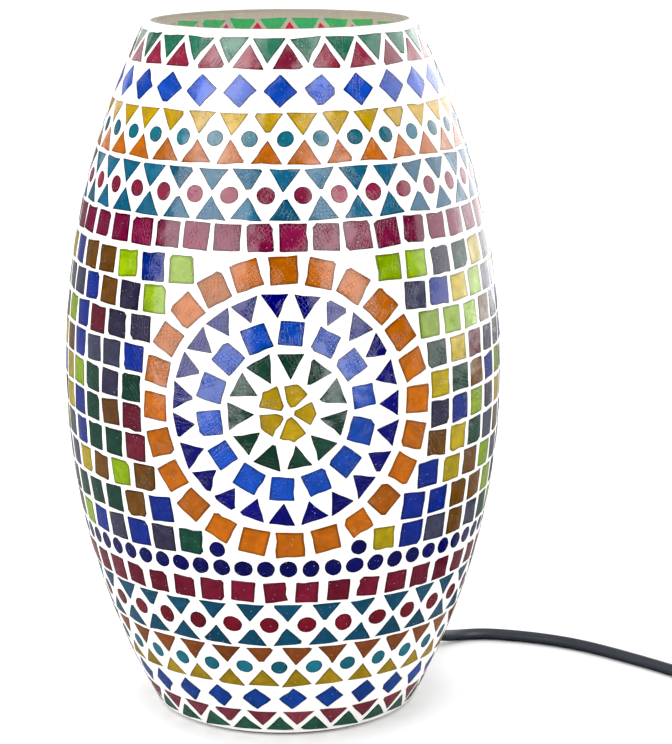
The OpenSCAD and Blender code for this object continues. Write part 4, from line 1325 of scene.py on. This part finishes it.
@dataclass(frozen=True)
class Softbox:
    """A soft rectangular light. Azimuth runs from the front towards the right, in degrees."""

    name: str
    azimuth: float
    distance: float
    height: float
    width: float
    tall: float
    radiance: float
    aim: tuple[float, float, float] | None = None
    glare: bool = False

    def place(self) -> None:
        """Adds the light to the scene."""
        light = bpy.data.lights.new(self.name, "AREA")
        light.shape = "RECTANGLE"
        light.size, light.size_y = self.width, self.tall
        light.energy = self.radiance * math.pi * self.width * self.tall
        lamp = bpy.data.objects.new(self.name, light)
        bpy.context.scene.collection.objects.link(lamp)
        a = math.radians(self.azimuth)
        lamp.location = (self.distance * math.sin(a), -self.distance * math.cos(a), self.height)
        aim = Vector(self.aim) if self.aim else Vector((0.0, 0.0, self.height))
        lamp.rotation_euler = (aim - lamp.location).to_track_quat("-Z", "Y").to_euler()
        lamp.visible_camera = False
        lamp.visible_diffuse = not self.glare


@dataclass(frozen=True)
class Studio:
    """The floor, the lights and the camera."""

    eye: tuple[float, float, float] = (-0.01281, -0.97996, 0.3768)
    pitch: float = 11.933
    yaw: float = -2.1
    roll: float = -0.31
    lens: float = 122.97
    shift: float = -0.07976

    def camera(self) -> None:
        """Places the camera."""
        data = bpy.data.cameras.new("camera")
        data.sensor_fit = "HORIZONTAL"
        data.sensor_width = 36.0
        data.lens = self.lens
        data.shift_y = self.shift
        data.clip_start, data.clip_end = 0.02, 60.0
        eye = bpy.data.objects.new("camera", data)
        bpy.context.scene.collection.objects.link(eye)
        eye.location = self.eye
        eye.rotation_mode = "XYZ"
        eye.rotation_euler = (math.radians(90 - self.pitch), 0.0, math.radians(self.yaw))
        eye.rotation_euler.rotate_axis("Z", math.radians(self.roll))
        bpy.context.scene.camera = eye

    def floor(self) -> None:
        """Lays a pale floor, which glossy surfaces see as dark grey: painted shade in its reflections."""
        mesh = mesh_from("floor", [(-9, -9, 0), (9, -9, 0), (9, 9, 0), (-9, 9, 0)], [(0, 1, 2, 3)])
        g = Graph("pale_floor")
        # Painted shade: glossy rays see a dark grey copy of the floor, so it reflects dimly in the glass.
        seen = g.node("ShaderNodeLightPath").outputs["Is Glossy Ray"]
        colour = g.mix(seen, (0.93, 0.93, 0.93), (0.22, 0.22, 0.22))
        g.set(Base_Color=colour, Roughness=0.9, Specular_IOR_Level=0.1)
        mesh.materials.append(g.material)
        new_object("floor", mesh)

    def lights(self) -> None:
        """Hangs the softboxes and sets the room's own soft light."""
        scene = bpy.context.scene
        world = bpy.data.worlds.new("room")
        world.use_nodes = True
        back = world.node_tree.nodes["Background"]
        back.inputs[0].default_value = (1.0, 1.0, 1.0, 1.0)
        path = world.node_tree.nodes.new("ShaderNodeLightPath")
        strength = world.node_tree.nodes.new("ShaderNodeMapRange")
        strength.inputs["To Min"].default_value, strength.inputs["To Max"].default_value = 1.3, 0.10
        world.node_tree.links.new(path.outputs["Is Glossy Ray"], strength.inputs["Value"])
        world.node_tree.links.new(strength.outputs[0], back.inputs[1])
        scene.world = world
        for box in (
            Softbox("left_glare", -42.0, 0.75, 0.62, 0.70, 1.24, 4.7, glare=True),
            Softbox("right_glare", 28.0, 0.75, 0.62, 0.34, 1.24, 5.4, glare=True),
            Softbox("side_glare", 98.0, 0.95, 0.62, 0.80, 1.24, 3.0, glare=True),
            Softbox("key_box", -48.0, 1.6, 1.5, 1.0, 1.0, 2.6, (0.0, 0.0, 0.12)),
            Softbox("back_left", -150.0, 1.5, 0.9, 0.8, 1.2, 1.2),
            Softbox("back_right", 150.0, 1.5, 0.9, 0.8, 1.2, 1.2),
            Softbox("edge_glare", 138.0, 1.1, 0.62, 0.9, 1.24, 2.4, glare=True),
            Softbox("top_box", 180.0, 0.25, 2.1, 1.2, 1.2, 1.6, (0.0, 0.0, 0.0)),
        ):
            box.place()
        scene.view_settings.view_transform = "Standard"
        scene.view_settings.look = "None"
        scene.view_settings.exposure = 0.0
        scene.view_settings.gamma = 1.0
        scene.view_settings.use_curve_mapping = True
        scene.view_settings.curve_mapping.black_level = (0.010, 0.010, 0.010)
        scene.view_settings.curve_mapping.update()

    def build(self) -> None:
        """Sets up the floor and the lights."""
        self.floor()
        self.lights()


# ---- Fittings, bulb, switch and plug ----


class RibRow(GeometryTree):
    """The Geometry Nodes tree for a row of round ribs along a tapering rubber sleeve."""

    def __init__(self) -> None:
        """Builds the tree: hoops along a line, each a little smaller than the last."""
        super().__init__("rib_row", Count="Int", Start="Vector", Step="Vector", Radius="Float", Taper="Float",
                         Rubber="Material")
        source = self.source
        line = {"Count": source["Count"], "Start Location": source["Start"], "Offset": source["Step"]}
        row = self.node("GeometryNodeMeshLine", line, mode="OFFSET")[0]
        hoop = self.node("GeometryNodeCurvePrimitiveCircle", {"Resolution": 36, "Radius": 1.0})[0]
        section = self.node("GeometryNodeCurvePrimitiveCircle", {"Resolution": 8, "Radius": 0.17})[0]
        ring = self.node("GeometryNodeCurveToMesh", {"Curve": hoop, "Profile Curve": section})[0]
        aim = self.node("FunctionNodeAlignRotationToVector", {"Vector": source["Step"]}, axis="Z")[0]
        order = self.node("GeometryNodeInputIndex", {})[0]
        loss = self.node("ShaderNodeMath", {0: order, 1: source["Taper"]}, operation="MULTIPLY")[0]
        size = self.node("ShaderNodeMath", {0: source["Radius"], 1: loss}, operation="SUBTRACT")[0]
        hoops = {"Points": row, "Instance": ring, "Rotation": aim, "Scale": size}
        spread = self.node("GeometryNodeInstanceOnPoints", hoops)[0]
        self.close(self.node("GeometryNodeSetShadeSmooth", {0: spread})[0], "Rubber")

    def build(self, name: str, start: Vector, step: Vector, count: int, radius: float, taper: float,
              rubber: bpy.types.Material) -> bpy.types.Object:
        """Makes one row of ribs.

        Args:
            name: the object's name.
            start: the first rib's middle.
            step: from one rib to the next.
            count: how many ribs.
            radius: the first rib's radius.
            taper: how much smaller each next rib is.
            rubber: the material.

        Returns:
            The ribs as a plain mesh.
        """
        piece = new_object(name, bpy.data.meshes.new(name))
        return self.run(piece, Count=count, Start=start[:], Step=step[:], Radius=radius, Taper=taper,
                        Rubber=rubber)


@dataclass
class Fittings:
    """Everything that isn't mosaic or flex: holder, bulb, fixings, switch and plug."""

    nodes: dict[str, bpy.types.Object]
    on_flex: list[bpy.types.Object] = field(default_factory=list)

    def soften(self, node: str, material: bpy.types.Material, bevel: float, body: str = LAMP,
               angle: float = 30.0) -> bpy.types.Object:
        """Makes a copy of a CAD node with its sharp edges rounded, in the node's place.

        Args:
            node: the CAD node.
            material: its finish.
            bevel: the edges' radius, in metres.
            body: the body that it rides on.
            angle: edges sharper than this are rounded, in degrees.

        Returns:
            The new piece.
        """
        bm = bmesh.new()
        bm.from_mesh(self.nodes[node].data)
        bmesh.ops.remove_doubles(bm, verts=bm.verts, dist=1e-6)
        bmesh.ops.dissolve_limit(bm, angle_limit=math.radians(0.6), verts=bm.verts, edges=bm.edges)
        mesh = bpy.data.meshes.new(node + "_soft")
        bm.to_mesh(mesh)
        bm.free()
        mesh.materials.append(material)
        piece = new_object(node + "_soft", mesh)
        modifier = piece.modifiers.new("edge", "BEVEL")
        modifier.width, modifier.segments, modifier.limit_method = bevel, 2, "ANGLE"
        modifier.angle_limit = math.radians(angle)
        baked(piece)
        smooth(piece.data, 40)
        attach(piece, body)
        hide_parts(node)
        return piece

    def turned(self, name: str, profile: Sequence[tuple[float, float]], material: bpy.types.Material,
               node: str, body: str, segments: int = 72) -> bpy.types.Object:
        """Turns a piece on the lamp's axis from a profile in millimetres, in a CAD node's place."""
        mesh = lathe(name, [(r * MM, z * MM) for r, z in profile], segments)
        mesh.materials.append(material)
        smooth(mesh, 35)
        piece = new_object(name, mesh)
        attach(piece, body)
        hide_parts(node)
        return piece

    def bulb(self) -> None:
        """The opal globe, its collar and the threaded cap."""
        z, r = 134.3, 30.0
        neck = math.asin(-22.2 / r)
        arc = [(r * math.cos(a), z + r * math.sin(a)) for a in np.linspace(neck, math.pi / 2, 30)[:-1]]
        self.turned("opal_globe", [(0, 112.1)] + arc + [(0, z + r)],
                    Opal("opal_glass", srgb(242, 240, 233)).material(), "bulb_globe", BULB)
        plastic = Moulded("bulb_plastic", srgb(234, 232, 226), 0.38, 0.00001).material()
        self.soften("bulb_collar", plastic, 0.0004, BULB)
        thread: list[tuple[float, float]] = []
        for k in range(5):
            low = 63.2 + 3.3 * k
            rise = ((12.25, 0.0), (12.5, 0.7), (12.95, 1.4), (12.95, 1.9), (12.5, 2.6))
            thread += [(r, low + up) for r, up in rise]
        profile = [(0, 58.3), (4.4, 58.3), (4.9, 58.8), (5.0, 59.4), (8.6, 60.2), (11.6, 61.6), (12.25, 62.6)]
        profile += thread + [(12.6, 80.4), (12.95, 81.0), (12.95, 82.2), (12.8, 82.3), (0, 82.3)]
        nickel = Metal("nickel", srgb(208, 204, 196), 0.24).material()
        self.turned("threaded_cap", profile, nickel, "bulb_cap", BULB)

    def inside(self) -> None:
        """The lampholder and the fixings at the foot."""
        black = Moulded("holder_black", srgb(25, 25, 27), 0.26, 0.00001).material()
        brass = Metal("brass", srgb(208, 166, 94), 0.3).material()
        steel = Metal("zinc_steel", srgb(178, 180, 184), 0.34).material()
        rubber = Moulded("black_rubber", srgb(27, 27, 29), 0.62, 0.00004, 1800.0).material()
        for node in ("lampholder_cap", "lampholder_skirt"):
            self.soften(node, black, 0.0005)
        insulator = Moulded("white_insulator", srgb(228, 224, 214), 0.3, 0.00001).material()
        self.soften("contact_carrier", insulator, 0.0003)
        self.soften("steel_washers", steel, 0.00015)
        self.soften("lock_nut", steel, 0.00025)
        self.soften("sealing_washers", rubber, 0.0002)
        dress(self.nodes, ["threaded_tubes", "side_entry_coupler", "screw_shell", "centre_contact"], brass)
        dress(self.nodes, ["flex_strain_relief"], rubber)
        dress(self.nodes, ["inner_lead"], Moulded("inner_sheath", srgb(44, 48, 58), 0.42, 0.00002).material())
        dress(self.nodes, ["core_wires"], Moulded("core_sleeve", srgb(120, 70, 40), 0.35, 0.00001).material())
        dress(self.nodes, ["foot_felt"], Felt("felt", srgb(44, 46, 50)).material())
        dress(self.nodes, ["glass_shell"], ClearGlass("clear_glass", srgb(222, 218, 204)).material())
        at, out = (Vector(v) for v in Barrel().at_hole())
        ribs = RibRow().build("strain_relief_ribs", at + out * 0.0035, out * 0.0026, 6, 0.0038, 0.00016, rubber)
        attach(ribs, LAMP)

    def on_the_flex(self) -> None:
        """The in-line switch and the plug."""
        black = Moulded("moulded_black", srgb(31, 32, 35), 0.5, 0.00003, 2200.0).material()
        gloss = Moulded("rocker_black", srgb(22, 22, 24), 0.24, 0.00001).material()
        pins = Metal("pin_nickel", srgb(210, 206, 198), 0.2).material()
        for node, material, bevel, body in (
            ("switch_base", black, 0.0008, LAMP), ("switch_cover", black, 0.0008, LAMP),
            ("switch_rocker", gloss, 0.0004, ROCKER), ("plug_body", black, 0.0009, LAMP),
            ("plug_pins", pins, 0.0005, LAMP),
        ):
            piece = self.soften(node, material, bevel, body)
            if body == LAMP:
                self.on_flex.append(piece)
        dress(self.nodes, ["switch_terminals"], Metal("terminal_brass", srgb(206, 164, 92), 0.3).material())
        start, step = Vector((0.2739, 0.0785, 0.00685)), Vector((0.0, 0.0032, 0.0))
        ribs = RibRow().build("plug_relief_ribs", start, step, 4, 0.0037, -0.00028, black)
        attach(ribs, LAMP)
        self.on_flex.append(ribs)


def dress(nodes: dict[str, bpy.types.Object], names: Sequence[str], material: bpy.types.Material) -> None:
    """Gives CAD nodes a better material."""
    for name in names:
        node = nodes[name]
        node.data.materials.clear()
        node.data.materials.append(material)


def main() -> None:
    """Builds the visual model around the frame."""
    logging.basicConfig(level=logging.INFO, format="%(levelname)s %(message)s")
    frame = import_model()
    nodes = frame["nodes"]
    studio = Studio()
    studio.camera()
    fittings = Fittings(nodes)
    fittings.on_the_flex()
    Flex().build(fittings.on_flex)
    Mosaic(Barrel(), nodes).build()
    fittings.inside()
    fittings.bulb()
    studio.build()


if __name__ == "__main__":
    main()
